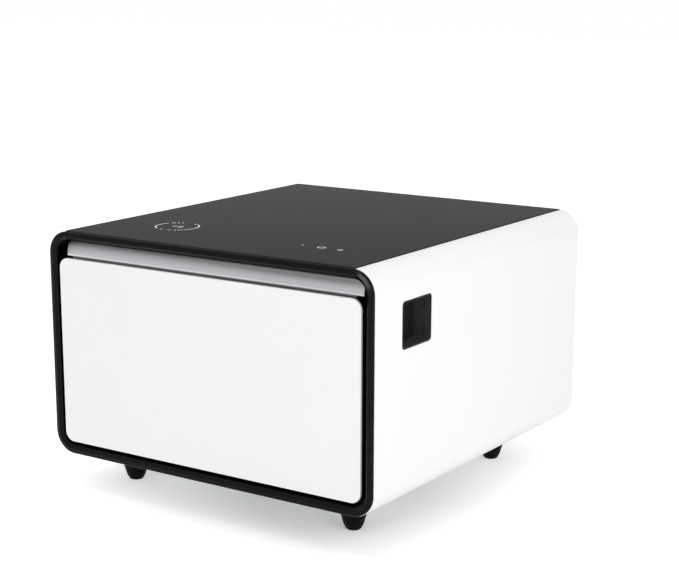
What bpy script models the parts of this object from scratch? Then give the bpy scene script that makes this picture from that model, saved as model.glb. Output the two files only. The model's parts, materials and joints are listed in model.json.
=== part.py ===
"""Refrigerator coffee table: a white cabinet on four feet, with a glass top and one cooled drawer.

Metres, +Z up. The origin is on the floor under the middle of the table, and the drawer opens
towards -Y. X runs to the right of someone who stands in front of the drawer.
"""
import math

import bpy
import bmesh
from mathutils import Matrix

# Whole table
WIDTH = 0.668
DEPTH = 0.7036
HEIGHT = 0.460
FOOT_HEIGHT = 0.060
CLEARANCE = 0.0003
OVERRUN = 0.004
WELD_SHARE = 0.01
CORNER_STEPS = 10
SMALL_CORNER_STEPS = 4
TURN_STEPS = 24
SMALL_TURN_STEPS = 16

# Side shells: white sheet, bent round the top and bottom edges of the body
SHELL_WALL = 0.0025
SHELL_RADIUS = 0.040
SHELL_LEDGE = 0.013

# Glass top, the deck under it and the strip behind it
GLASS_SIDE_MARGIN = 0.0363
GLASS_THICKNESS = 0.004
GLASS_PROUD = 0.0012
GLASS_BACK_MARGIN = 0.006
DECK_THICKNESS = 0.0025
TRIM_LEG_HEIGHT = 0.016

# Black front frame: a flat band, then a slope that runs back to the mouth
FRAME_INSET = 0.0006
FRAME_FACE_WIDTH = 0.015
FRAME_BAND_WIDTH = 0.0086
FRAME_SLOPE_DEPTH = 0.0050
FRAME_DEPTH = 0.006
FRAME_OUTER_ROUND = 0.0035
FRAME_ROUND_STEPS = 4
COLLAR_WALL = 0.0025

# Drawer front: panel, carrier, inner panel and gasket, from front to back
DOOR_SETBACK = 0.0016
DOOR_GAP = 0.0075
DOOR_THICKNESS = 0.005
DOOR_RADIUS = 0.018
DOOR_EDGE_ROUND = 0.0012
DOOR_EDGE_STEPS = 2
CARRIER_GAP = 0.0045
CARRIER_DEPTH = 0.036
CARRIER_FRONT_WALL = 0.0025
CARRIER_SIDE_WALL = 0.008
DOOR_LINER_THICKNESS = 0.002
GASKET_MARGIN = 0.008
GASKET_WIDTH = 0.014
GASKET_THICKNESS = 0.007
GASKET_RADIUS = 0.010

# Handle channel: a hollow silver strip above the panel, with a finger slot below its lip
HANDLE_OPENING = 0.031
CHANNEL_SIDE_GAP = 0.0079
CHANNEL_RADIUS = 0.018
CHANNEL_TOP_GAP = 0.0003
CHANNEL_SHEET = 0.0015
CHANNEL_TOP_DEPTH = 0.0225
CHANNEL_LIP_DEPTH = 0.0180
CHANNEL_HOLLOW = 0.0040
CHANNEL_LIP_RISE = 0.0014
CHANNEL_STEPS = 10
FINGER_SLOT_DEPTH = 0.020

# Cooled cavity and what lines it
CAVITY_SIDE_MARGIN = 0.072
CAVITY_FLOOR_MARGIN = 0.0294
CAVITY_ROOF_MARGIN = 0.0282
LINER_WALL = 0.002
EVAPORATOR_THICKNESS = 0.0015
EVAPORATOR_SIDE_MARGIN = 0.042
EVAPORATOR_END_MARGIN = 0.035
FOAM_REAR_WALL = 0.030
LIGHT_WIDTH = 0.100
LIGHT_LENGTH = 0.015
LIGHT_THICKNESS = 0.006
LIGHT_SETBACK = 0.030

# Drawer slides: three nested channels on each side
RAIL_BACK_GAP = 0.056
RAIL_HEIGHT = 0.045
RAIL_THICKNESS = 0.0127
RAIL_SHEET = 0.0012
RAIL_RUNNING_GAP = 0.0004
RAIL_SETBACK = 0.014
RAIL_RISE = 0.060

# Drawer bin and the brackets that carry it
BRACKET_SHEET = 0.002
BRACKET_BASE_RISE = 0.007
BRACKET_HEIGHT = 0.080
BRACKET_SHELF = 0.025
BRACKET_FLANGE = 0.040
BIN_BACK_GAP = 0.060
BIN_TOP_SPACE = 0.0857
BIN_WALL = 0.003
BIN_RADIUS = 0.012
DIVIDER_DROP = 0.0317
DIVIDER_THICKNESS = 0.003
DIVIDER_PLACE_SHARE = 0.55

# Base pan, feet and foot screws
PAN_THICKNESS = 0.002
PAN_CORNER_GAP = 0.004
FOOT_SIDE_SETBACK = 0.099
FOOT_FRONT_SETBACK = 0.100
FOOT_REAR_SETBACK = 0.1346
FOOT_SOLE_RADIUS = 0.0115
FOOT_SOLE_ROUND_RADIUS = 0.0140
FOOT_SOLE_ROUND_HEIGHT = 0.0030
FOOT_TOE_RADIUS = 0.0174
FOOT_TOE_HEIGHT = 0.0100
FOOT_ANKLE_RADIUS = 0.0205
FOOT_ANKLE_HEIGHT = 0.0210
FOOT_TOP_RADIUS = 0.0330
FOOT_RETURN_GAP = 0.002
FOOT_FLOOR_THICKNESS = 0.020
SCREW_RADIUS = 0.003
SCREW_HEAD_RADIUS = 0.0062
SCREW_HEAD_GAP = 0.0008
SCREW_HEAD_HEIGHT = 0.004

# Outlet recess in the right side
BEZEL_WIDTH = 0.089
BEZEL_HEIGHT = 0.0775
BEZEL_RADIUS = 0.0055
BEZEL_RIM = 0.003
BEZEL_SETBACK = 0.0004
BEZEL_FRONT_DISTANCE = 0.1298
BEZEL_DROP = 0.1012
RECESS_DEPTH = 0.032
BEZEL_BACK_WALL = 0.0025
OUTLET_WIDTH = 0.034
OUTLET_HEIGHT = 0.052
OUTLET_PROUD = 0.0010
OUTLET_BODY_DEPTH = 0.010
OUTLET_SLOT_DEPTH = 0.009
OUTLET_BLADE_SPACING = 0.0127
OUTLET_BLADE_WIDTH = 0.0022
OUTLET_BLADE_HEIGHT = 0.0080
OUTLET_EARTH_RADIUS = 0.0025
OUTLET_EARTH_DROP = 0.0118
USB_DEPTH_IN_RECESS = 0.0137
USB_SPACING = 0.038
USB_PORT_HEIGHT = 0.0134
USB_PORT_WIDTH = 0.0062
USB_PORT_WALL = 0.0006
USB_PORT_DEPTH = 0.011
USB_TONGUE = 0.0018
USB_BODY_MARGIN = 0.0043
USB_BODY_WIDTH = 0.012
USB_BODY_DEPTH = 0.012
BACK_BOX_WALL = 0.0015
BACK_BOX_ROOM = 0.0044
BACK_BOX_USB_GAP = 0.002

# Wireless charger and touch controls under the glass
CHARGER_SIDE_DISTANCE = 0.169
CHARGER_FRONT_DISTANCE = 0.146
CHARGER_HOLE_RADIUS = 0.030
CHARGER_COIL_GAP = 0.004
CHARGER_COIL_INNER_RADIUS = 0.010
CHARGER_BOARD_SIZE = 0.084
TOUCH_SIDE_DISTANCE = 0.176
TOUCH_FRONT_DISTANCE = 0.118
TOUCH_SLOT_LENGTH = 0.104
TOUCH_SLOT_WIDTH = 0.020
TOUCH_BOARD_MARGIN = 0.006
BOARD_THICKNESS = 0.0016
BOARD_POCKET_DEPTH = 0.004

# Back panel with its vents and the gland of the supply lead
BACK_PANEL_RECESS = 0.0033
BACK_PANEL_THICKNESS = 0.002
VENT_LENGTH = 0.060
VENT_HEIGHT = 0.0036
VENT_PITCH_Z = 0.012
VENT_PITCH_X = 0.078
VENT_ROWS = 9
VENT_COLUMNS = 3
VENT_LOWEST_RISE = 0.035
VENT_END_STEPS = 2
GLAND_SIDE_DISTANCE = 0.084
GLAND_RISE = 0.060
GLAND_BORE_RADIUS = 0.0045
GLAND_BARREL_RADIUS = 0.0080
GLAND_FLANGE_RADIUS = 0.0120
GLAND_FLANGE_THICKNESS = 0.002
GLAND_BARREL_LENGTH = 0.008

# Compressor on its rubber grommets, with its start relay
COMPRESSOR_SIDE_DISTANCE = 0.159
COMPRESSOR_BACK_GAP = 0.0145
COMPRESSOR_FRONT_GAP = 0.0169
COMPRESSOR_RADIUS = 0.055
COMPRESSOR_HEIGHT = 0.135
COMPRESSOR_DOME = 0.034
COMPRESSOR_BOWL = 0.024
COMPRESSOR_DROP = 0.006
COMPRESSOR_PLATE_LENGTH = 0.170
COMPRESSOR_PLATE_WIDTH = 0.098
COMPRESSOR_PLATE_SHEET = 0.003
COMPRESSOR_HOLD_SPACING_X = 0.146
COMPRESSOR_HOLD_SPACING_Y = 0.076
GROMMET_RADIUS = 0.009
GROMMET_HEIGHT = 0.012
GROMMET_WAIST_RADIUS = 0.007
RELAY_LENGTH = 0.026
RELAY_WIDTH = 0.044
RELAY_HEIGHT = 0.048
RELAY_RISE = 0.045

# Cooling circuit
COIL_LEFT_DISTANCE = 0.284
COIL_RIGHT_DISTANCE = 0.164
COIL_TUBE_RADIUS = 0.0026
COIL_PITCH = 0.022
COIL_RUNS = 7
COIL_BACK_DISTANCE = 0.020
COIL_BEND_STEPS = 4
COIL_RETURN_STEPS = 6
DRIER_OFFSET_X = -0.014
DRIER_RADIUS = 0.010
DRIER_NECK_RADIUS = 0.0035
DRIER_LENGTH = 0.100
DRIER_TAPER = 0.014
DRIER_RISE = 0.050
PIPE_RADIUS = 0.004
PIPE_BEND_RADIUS = 0.018
PIPE_BEND_STEPS = 4
SUCTION_OFFSET_X = 0.022
SUCTION_FOAM_RISE = 0.235
DISCHARGE_OFFSET_X = -0.022
PIPE_RISE = 0.030

# Condenser fan
FAN_SIZE = 0.120
FAN_THICKNESS = 0.025
FAN_CORNER_RADIUS = 0.006
FAN_RIM = 0.004
FAN_BACK_DISTANCE = 0.055
FAN_MOTOR_RADIUS = 0.020
FAN_MOTOR_THICKNESS = 0.004
FAN_STRUT_WIDTH = 0.005
FAN_HUB_RADIUS = 0.019
FAN_HUB_MARGIN = 0.0014
FAN_BLADES = 7
FAN_TIP_GAP = 0.0015
FAN_BLADE_CHORD = 0.026
FAN_BLADE_THICKNESS = 0.0016
FAN_BLADE_PITCH_DEGREES = 32.0

# Electric boxes
SUPPLY_INTO_CORNER = 0.008
SUPPLY_FRONT_GAP = 0.0194
SUPPLY_LENGTH = 0.080
SUPPLY_HEIGHT = 0.042
SUPPLY_CHAMFER = 0.002
CONTROL_SIDE_DISTANCE = 0.184
CONTROL_RISE = 0.230
CONTROL_WIDTH = 0.150
CONTROL_HEIGHT = 0.100
CONTROL_DEPTH = 0.030
CONTROL_WALL = 0.002
CONTROL_PEG_RADIUS = 0.004
CONTROL_PEG_HEIGHT = 0.008
CONTROL_PEG_INSET = 0.010

# Levels and planes that follow from the sizes above
HALF_WIDTH = WIDTH / 2
FRONT = -DEPTH / 2
BACK = DEPTH / 2
BODY_BOTTOM = FOOT_HEIGHT
BODY_TOP = HEIGHT - GLASS_PROUD
INNER_HALF_WIDTH = HALF_WIDTH - SHELL_WALL
GLASS_HALF = HALF_WIDTH - GLASS_SIDE_MARGIN
GLASS_BOTTOM = HEIGHT - GLASS_THICKNESS
LEDGE_TOP = GLASS_BOTTOM - CLEARANCE
LEDGE_BOTTOM = LEDGE_TOP - SHELL_WALL
DECK_BOTTOM = LEDGE_TOP - DECK_THICKNESS
GLASS_SLOT_HALF = GLASS_HALF + CLEARANCE
LEDGE_HALF = GLASS_SLOT_HALF - SHELL_LEDGE
FRAME_BACK = FRONT + FRAME_DEPTH
SHELL_FRONT = FRAME_BACK + CLEARANCE
PAN_BOTTOM = BODY_BOTTOM + SHELL_WALL + CLEARANCE
PAN_TOP = PAN_BOTTOM + PAN_THICKNESS
PANEL_BACK = BACK - BACK_PANEL_RECESS
PANEL_FRONT = PANEL_BACK - BACK_PANEL_THICKNESS

FRAME_HALF = HALF_WIDTH - FRAME_INSET
FRAME_LOW = BODY_BOTTOM + FRAME_INSET
FRAME_HIGH = BODY_TOP - FRAME_INSET
FRAME_RADIUS = SHELL_RADIUS - FRAME_INSET
MOUTH_HALF = FRAME_HALF - FRAME_FACE_WIDTH
MOUTH_LOW = FRAME_LOW + FRAME_FACE_WIDTH
MOUTH_HIGH = FRAME_HIGH - FRAME_FACE_WIDTH
MOUTH_RADIUS = FRAME_RADIUS - FRAME_FACE_WIDTH

DOOR_HALF = MOUTH_HALF - DOOR_GAP
DOOR_LOW = MOUTH_LOW + DOOR_GAP
DOOR_HIGH = MOUTH_HIGH - HANDLE_OPENING
DOOR_FRONT = FRONT + DOOR_SETBACK
DOOR_BACK = DOOR_FRONT + DOOR_THICKNESS
CARRIER_FRONT = DOOR_BACK + CLEARANCE
CARRIER_BACK = CARRIER_FRONT + CARRIER_DEPTH
CARRIER_HALF = MOUTH_HALF - CARRIER_GAP
CARRIER_LOW = MOUTH_LOW + CARRIER_GAP
CARRIER_HIGH = MOUTH_HIGH - CARRIER_GAP
CARRIER_RADIUS = MOUTH_RADIUS - CARRIER_GAP
DOOR_LINER_FRONT = CARRIER_BACK + CLEARANCE
DOOR_LINER_BACK = DOOR_LINER_FRONT + DOOR_LINER_THICKNESS
GASKET_FRONT = DOOR_LINER_BACK + CLEARANCE
GASKET_BACK = GASKET_FRONT + GASKET_THICKNESS
LINER_FRONT = GASKET_BACK + CLEARANCE
SLOT_LOW = DOOR_HIGH - FINGER_SLOT_DEPTH
CHANNEL_LIP = DOOR_HIGH + CHANNEL_LIP_RISE
CHANNEL_HIGH = CARRIER_HIGH - CHANNEL_TOP_GAP
CHANNEL_HALF = MOUTH_HALF - CHANNEL_SIDE_GAP
CHANNEL_SKIRT_HALF = DOOR_HALF - DOOR_RADIUS

COMPRESSOR_X = -HALF_WIDTH + COMPRESSOR_SIDE_DISTANCE
COMPRESSOR_Y = PANEL_FRONT - COMPRESSOR_BACK_GAP - COMPRESSOR_RADIUS
FOAM_BACK = COMPRESSOR_Y - COMPRESSOR_RADIUS - COMPRESSOR_FRONT_GAP
EVAPORATOR_BACK = FOAM_BACK - FOAM_REAR_WALL - CLEARANCE
EVAPORATOR_FRONT = EVAPORATOR_BACK - EVAPORATOR_THICKNESS
LINER_BACK = EVAPORATOR_FRONT - CLEARANCE
CAVITY_BACK = LINER_BACK - LINER_WALL
CAVITY_HALF = HALF_WIDTH - CAVITY_SIDE_MARGIN
CAVITY_LOW = MOUTH_LOW + CAVITY_FLOOR_MARGIN
CAVITY_HIGH = MOUTH_HIGH - CAVITY_ROOF_MARGIN
FOAM_FRONT = LINER_FRONT + LINER_WALL + CLEARANCE
FOAM_HALF = INNER_HALF_WIDTH - CLEARANCE
FOAM_RADIUS = SHELL_RADIUS - SHELL_WALL - CLEARANCE
FOAM_LOW = PAN_TOP + CLEARANCE
FOAM_HIGH = DECK_BOTTOM - CLEARANCE

RAIL_OUT = CAVITY_HALF - CLEARANCE
RAIL_IN = RAIL_OUT - RAIL_THICKNESS
RAIL_FRONT = LINER_FRONT + RAIL_SETBACK
RAIL_BACK = CAVITY_BACK - RAIL_BACK_GAP
RAIL_MIDDLE_Z = CAVITY_LOW + RAIL_RISE
BRACKET_OUT = RAIL_IN - CLEARANCE
BRACKET_IN = BRACKET_OUT - BRACKET_SHEET
BRACKET_LOW = CAVITY_LOW + BRACKET_BASE_RISE
BRACKET_FRONT = DOOR_LINER_BACK + CLEARANCE
BIN_HALF = BRACKET_IN - CLEARANCE
BIN_FRONT = BRACKET_FRONT + BRACKET_SHEET + CLEARANCE
BIN_BACK = CAVITY_BACK - BIN_BACK_GAP
BIN_LOW = BRACKET_LOW + BRACKET_SHEET + CLEARANCE
BIN_HIGH = CAVITY_HIGH - BIN_TOP_SPACE

BEZEL_Y = FRONT + BEZEL_FRONT_DISTANCE
BEZEL_Z = BODY_TOP - BEZEL_DROP
BEZEL_OUT = HALF_WIDTH - BEZEL_SETBACK
RECESS_FLOOR_X = BEZEL_OUT - RECESS_DEPTH
BEZEL_IN = RECESS_FLOOR_X - BEZEL_BACK_WALL
BACK_BOX_OUT = INNER_HALF_WIDTH - CLEARANCE
BACK_BOX_IN = BEZEL_IN - OUTLET_BODY_DEPTH - BACK_BOX_ROOM - BACK_BOX_WALL
CHARGER_X = -HALF_WIDTH + CHARGER_SIDE_DISTANCE
CHARGER_Y = FRONT + CHARGER_FRONT_DISTANCE
TOUCH_X = HALF_WIDTH - TOUCH_SIDE_DISTANCE
TOUCH_Y = FRONT + TOUCH_FRONT_DISTANCE
BOARD_TOP = DECK_BOTTOM - CLEARANCE

FOOT_X = HALF_WIDTH - FOOT_SIDE_SETBACK
SHELL_RETURN_X = FOOT_X + FOOT_TOP_RADIUS + FOOT_RETURN_GAP
GLAND_X = HALF_WIDTH - GLAND_SIDE_DISTANCE
COIL_LEFT_X = -HALF_WIDTH + COIL_LEFT_DISTANCE
COIL_RIGHT_X = HALF_WIDTH - COIL_RIGHT_DISTANCE
DRIER_X = COIL_LEFT_X + DRIER_OFFSET_X
FAN_X = (COIL_LEFT_X + COIL_RIGHT_X) / 2
CONTROL_X = HALF_WIDTH - CONTROL_SIDE_DISTANCE

# Finishes: linear red, green and blue, then roughness and how metallic it is
WHITE_COAT = ((0.90, 0.90, 0.89), 0.35, 0)
WHITE_GLOSS = ((0.90, 0.90, 0.89), 0.25, 0)
INNER_WHITE = ((0.82, 0.83, 0.83), 0.40, 0)
BLACK_GLOSS = ((0.012, 0.012, 0.013), 0.12, 0)
BLACK_SATIN = ((0.012, 0.012, 0.013), 0.38, 0)
GLASS_BLACK = ((0.020, 0.020, 0.021), 0.08, 0)
SILVER = ((0.62, 0.63, 0.64), 0.30, 1)
STEEL = ((0.45, 0.46, 0.47), 0.35, 0.8)
COPPER = ((0.62, 0.30, 0.16), 0.32, 0.9)
FOAM = ((0.78, 0.66, 0.36), 0.90, 0)
BOARD_GREEN = ((0.02, 0.12, 0.05), 0.40, 0)
RUBBER = ((0.02, 0.02, 0.02), 0.80, 0)
GREY = ((0.25, 0.25, 0.26), 0.50, 0)
LAMP = ((0.92, 0.92, 0.86), 0.40, 0)

PARTS = bpy.data.collections.new("refrigerator_coffee_table")
CUTTERS = bpy.data.collections.new("cutters")

# How a flat outline is turned before it is extruded along an axis
TURNS = {
    "X": Matrix(((0, 0, 1, 0), (1, 0, 0, 0), (0, 1, 0, 0), (0, 0, 0, 1))),
    "Y": Matrix(((1, 0, 0, 0), (0, 0, -1, 0), (0, 1, 0, 0), (0, 0, 0, 1))),
    "Z": Matrix.Identity(4),
}


def clear_scene():
    """Remove what the scene holds and link the two collections."""
    for thing in list(bpy.data.objects):
        bpy.data.objects.remove(thing, do_unlink=True)
    bpy.context.scene.collection.children.link(PARTS)
    bpy.context.scene.collection.children.link(CUTTERS)


def finish(thing, surface):
    """Give an object its own Principled material in one of the finishes."""
    colour, roughness, metallic = surface
    material = bpy.data.materials.new(thing.name + "_finish")
    material.use_nodes = True
    shader = material.node_tree.nodes["Principled BSDF"]
    shader.inputs["Base Color"].default_value = (*colour, 1.0)
    shader.inputs["Roughness"].default_value = roughness
    shader.inputs["Metallic"].default_value = metallic
    material.diffuse_color = (*colour, 1.0)
    thing.data.materials.clear()
    thing.data.materials.append(material)
    return thing


def new_object(name, mesh, collection=PARTS):
    """An object for a mesh, linked to a collection."""
    thing = bpy.data.objects.new(name, mesh)
    collection.objects.link(thing)
    return thing


def as_cutter(thing):
    """Move an object to the cutters and hide it from the render."""
    PARTS.objects.unlink(thing)
    CUTTERS.objects.link(thing)
    thing.hide_render = True
    thing.display_type = 'WIRE'
    return thing


def add_boolean(target, other, operation='DIFFERENCE'):
    """Cut, join or intersect the target with another object, which becomes a cutter."""
    as_cutter(other)
    modifier = target.modifiers.new(operation.lower(), 'BOOLEAN')
    modifier.operation = operation
    modifier.solver = 'EXACT'
    modifier.object = other
    return target


def mesh_of_curve(thing, turn):
    """Turn a curve object into a welded mesh object of the same name, turned by a matrix."""
    weld_distance = CLEARANCE * WELD_SHARE
    bpy.context.view_layer.update()
    evaluated = thing.evaluated_get(bpy.context.evaluated_depsgraph_get())
    mesh = bpy.data.meshes.new_from_object(evaluated)
    name = thing.name
    bpy.data.objects.remove(thing, do_unlink=True)
    body = bmesh.new()
    body.from_mesh(mesh)
    bmesh.ops.remove_doubles(body, verts=body.verts, dist=weld_distance)
    bmesh.ops.transform(body, matrix=turn, verts=body.verts)
    bmesh.ops.recalc_face_normals(body, faces=body.faces)
    body.to_mesh(mesh)
    body.free()
    return new_object(name, mesh)


def arc(a, b, radius, start, end, steps):
    """Points of an arc about (a, b), from one angle to another in degrees."""
    points = []
    for step in range(steps + 1):
        angle = math.radians(start + (end - start) * step / steps)
        points.append((a + radius * math.cos(angle), b + radius * math.sin(angle)))
    return points


def rounded(a_low, a_high, b_low, b_high, radius, steps=CORNER_STEPS):
    """Outline of a rectangle with four round corners."""
    return (arc(a_high - radius, b_low + radius, radius, -90, 0, steps)
            + arc(a_high - radius, b_high - radius, radius, 0, 90, steps)
            + arc(a_low + radius, b_high - radius, radius, 90, 180, steps)
            + arc(a_low + radius, b_low + radius, radius, 180, 270, steps))


def circle(a, b, radius, steps=TURN_STEPS):
    """Outline of a circle about (a, b)."""
    return arc(a, b, radius, 0, 360, steps)[:-1]


def rectangle(a_low, a_high, b_low, b_high):
    """Outline of a plain rectangle."""
    return [(a_low, b_low), (a_high, b_low), (a_high, b_high), (a_low, b_high)]


def slot_outline(a, b, length, height, steps):
    """Outline of a slot about (a, b) with round ends."""
    radius = height / 2
    reach = length / 2 - radius
    return arc(a + reach, b, radius, -90, 90, steps) + arc(a - reach, b, radius, 90, 270, steps)


def extruded(name, outlines, axis, low, high):
    """Fill flat outlines, inner ones as holes, and extrude them from low to high along an axis.

    The outlines hold (y, z) for axis X, (x, z) for axis Y and (x, y) for axis Z.
    """
    curve = bpy.data.curves.new(name, 'CURVE')
    curve.dimensions = '2D'
    curve.fill_mode = 'BOTH'
    curve.extrude = (high - low) / 2
    for outline in outlines:
        spline = curve.splines.new('POLY')
        spline.points.add(len(outline) - 1)
        for point, (a, b) in zip(spline.points, outline):
            point.co = (a, b, 0, 1)
        spline.use_cyclic_u = True
    thing = new_object(name, curve)
    middle = (low + high) / 2
    offset = {"X": (middle, 0, 0), "Y": (0, middle, 0), "Z": (0, 0, middle)}[axis]
    return mesh_of_curve(thing, Matrix.Translation(offset) @ TURNS[axis])


def box(name, x_low, x_high, y_low, y_high, z_low, z_high):
    """A box between two corners."""
    mesh = bpy.data.meshes.new(name)
    body = bmesh.new()
    bmesh.ops.create_cube(body, size=1)
    centre = ((x_low + x_high) / 2, (y_low + y_high) / 2, (z_low + z_high) / 2)
    size = (x_high - x_low, y_high - y_low, z_high - z_low, 1)
    place = Matrix.Translation(centre) @ Matrix.Diagonal(size)
    bmesh.ops.transform(body, matrix=place, verts=body.verts)
    body.to_mesh(mesh)
    body.free()
    return new_object(name, mesh)


def cylinder(name, centre, radius, length, axis="Z", steps=SMALL_TURN_STEPS):
    """A cylinder about a centre, along an axis."""
    mesh = bpy.data.meshes.new(name)
    body = bmesh.new()
    place = Matrix.Translation(centre) @ TURNS[axis]
    bmesh.ops.create_cone(body, cap_ends=True, segments=steps, radius1=radius, radius2=radius,
                          depth=length, matrix=place)
    body.to_mesh(mesh)
    body.free()
    return new_object(name, mesh)


def turned(name, profile, place, closed=False, steps=TURN_STEPS):
    """Turn a profile of (radius, height) about the object's Z with a Screw modifier."""
    mesh = bpy.data.meshes.new(name)
    edges = [(i, i + 1) for i in range(len(profile) - 1)]
    if closed:
        edges.append((len(profile) - 1, 0))
    mesh.from_pydata([(radius, 0, height) for radius, height in profile], edges, [])
    thing = new_object(name, mesh)
    thing.location = place
    screw = thing.modifiers.new("turn", 'SCREW')
    screw.axis = 'Z'
    screw.steps = steps
    screw.render_steps = steps
    screw.use_merge_vertices = True
    screw.merge_threshold = CLEARANCE * WELD_SHARE
    screw.use_smooth_shade = True
    return thing


def tube(name, route, radius, resolution=2):
    """A round tube along a route of points, with its ends closed."""
    curve = bpy.data.curves.new(name, 'CURVE')
    curve.dimensions = '3D'
    curve.fill_mode = 'FULL'
    curve.bevel_depth = radius
    curve.bevel_resolution = resolution
    curve.use_fill_caps = True
    curve.resolution_u = 1
    spline = curve.splines.new('POLY')
    spline.points.add(len(route) - 1)
    for point, place in zip(spline.points, route):
        point.co = (*place, 1)
    return mesh_of_curve(new_object(name, curve), Matrix.Identity(4))


def bent_route(corners, radius, steps):
    """Points of a route through corners, each inner corner rounded by a quadratic curve."""
    route = [corners[0]]
    for before, corner, after in zip(corners, corners[1:], corners[2:]):
        start = shifted_towards(corner, before, radius)
        end = shifted_towards(corner, after, radius)
        for step in range(steps + 1):
            t = step / steps
            weights = ((1 - t) ** 2, 2 * t * (1 - t), t ** 2)
            route.append(tuple(sum(w * p[i] for w, p in zip(weights, (start, corner, end)))
                               for i in range(3)))
    route.append(corners[-1])
    return route


def shifted_towards(point, target, distance):
    """A point moved towards a target by a distance."""
    length = math.dist(point, target)
    return tuple(p + (t - p) * distance / length for p, t in zip(point, target))


def bevel_edges(thing, width, steps):
    """Round every edge sharper than 60 degrees."""
    bevel = thing.modifiers.new("round", 'BEVEL')
    bevel.width = width
    bevel.segments = steps
    bevel.limit_method = 'ANGLE'
    bevel.angle_limit = math.radians(60)
    return thing


def shell_profile(side):
    """Outline (x, z) of one side shell, side 1 for right and -1 for left."""
    centre_x = HALF_WIDTH - SHELL_RADIUS
    top_z = BODY_TOP - SHELL_RADIUS
    low_z = BODY_BOTTOM + SHELL_RADIUS
    inner = SHELL_RADIUS - SHELL_WALL
    edge_angle = math.degrees(math.acos((GLASS_SLOT_HALF - centre_x) / SHELL_RADIUS))
    ledge_angle = math.degrees(math.asin((LEDGE_BOTTOM - top_z) / inner))
    points = arc(centre_x, top_z, SHELL_RADIUS, edge_angle, 0, CORNER_STEPS)
    points += arc(centre_x, low_z, SHELL_RADIUS, 0, -90, CORNER_STEPS)
    points += [(SHELL_RETURN_X, BODY_BOTTOM), (SHELL_RETURN_X, BODY_BOTTOM + SHELL_WALL)]
    points += arc(centre_x, low_z, inner, -90, 0, CORNER_STEPS)
    points += arc(centre_x, top_z, inner, 0, ledge_angle, CORNER_STEPS)
    points += [(LEDGE_HALF, LEDGE_BOTTOM), (LEDGE_HALF, LEDGE_TOP), (GLASS_SLOT_HALF, LEDGE_TOP)]
    return [(side * x, z) for x, z in points]


def make_side_shells():
    """The two white side shells, the right one with the outlet's cut-out."""
    for name, side in (("side_shell_left", -1), ("side_shell_right", 1)):
        shell = extruded(name, [shell_profile(side)], "Y", SHELL_FRONT, BACK)
        if side > 0:
            cut = extruded("outlet_cut", [bezel_outline(CLEARANCE)], "X",
                           INNER_HALF_WIDTH - OVERRUN, HALF_WIDTH + OVERRUN)
            add_boolean(shell, cut)
        finish(shell, WHITE_COAT)


def make_front_frame():
    """The black frame round the drawer: a flat band, an inner slope, and a collar behind them."""
    collar_back = LINER_FRONT - CLEARANCE - FRONT
    collar_inset = FRAME_FACE_WIDTH - COLLAR_WALL
    section = [(0, FRAME_DEPTH)]
    section += arc(FRAME_OUTER_ROUND, FRAME_OUTER_ROUND, FRAME_OUTER_ROUND, 180, 270,
                   FRAME_ROUND_STEPS)
    section += [(FRAME_BAND_WIDTH, 0), (FRAME_FACE_WIDTH, FRAME_SLOPE_DEPTH),
                (FRAME_FACE_WIDTH, collar_back), (collar_inset, collar_back),
                (collar_inset, FRAME_DEPTH)]
    finish(frame_ring("front_frame", section), BLACK_GLOSS)


def frame_ring(name, section):
    """A closed ring along the frame's outline, through section points of (inset, depth)."""
    mesh = bpy.data.meshes.new(name)
    body = bmesh.new()
    loops = []
    for inset, depth in section:
        outline = rounded(inset - FRAME_HALF, FRAME_HALF - inset, FRAME_LOW + inset,
                          FRAME_HIGH - inset, FRAME_RADIUS - inset)
        loops.append([body.verts.new((x, FRONT + depth, z)) for x, z in outline])
    for loop, after in zip(loops, loops[1:] + loops[:1]):
        for step in range(len(loop)):
            body.faces.new((loop[step - 1], loop[step], after[step], after[step - 1]))
    bmesh.ops.recalc_face_normals(body, faces=body.faces)
    body.to_mesh(mesh)
    body.free()
    return new_object(name, mesh)


def make_top():
    """The glass, the deck that carries it, and the white strip behind it."""
    glass_back = BACK - GLASS_BACK_MARGIN
    deck_half = LEDGE_HALF - CLEARANCE
    finish(box("glass_top", -GLASS_HALF, GLASS_HALF, SHELL_FRONT, glass_back, GLASS_BOTTOM, HEIGHT),
           GLASS_BLACK)
    touch_half = TOUCH_SLOT_LENGTH / 2
    slot_half = TOUCH_SLOT_WIDTH / 2
    outlines = [rectangle(-deck_half, deck_half, SHELL_FRONT, glass_back),
                circle(CHARGER_X, CHARGER_Y, CHARGER_HOLE_RADIUS),
                rectangle(TOUCH_X - touch_half, TOUCH_X + touch_half,
                          TOUCH_Y - slot_half, TOUCH_Y + slot_half)]
    finish(extruded("top_deck", outlines, "Z", DECK_BOTTOM, LEDGE_TOP), STEEL)
    trim = box("rear_trim", -GLASS_HALF, GLASS_HALF, glass_back + CLEARANCE, BACK,
               GLASS_BOTTOM, BODY_TOP)
    leg = box("rear_trim_leg", -deck_half, deck_half, PANEL_BACK + CLEARANCE, BACK,
              LEDGE_BOTTOM - TRIM_LEG_HEIGHT, GLASS_BOTTOM + (BODY_TOP - GLASS_BOTTOM) / 2)
    add_boolean(trim, leg, 'UNION')
    finish(trim, WHITE_COAT)


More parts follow.
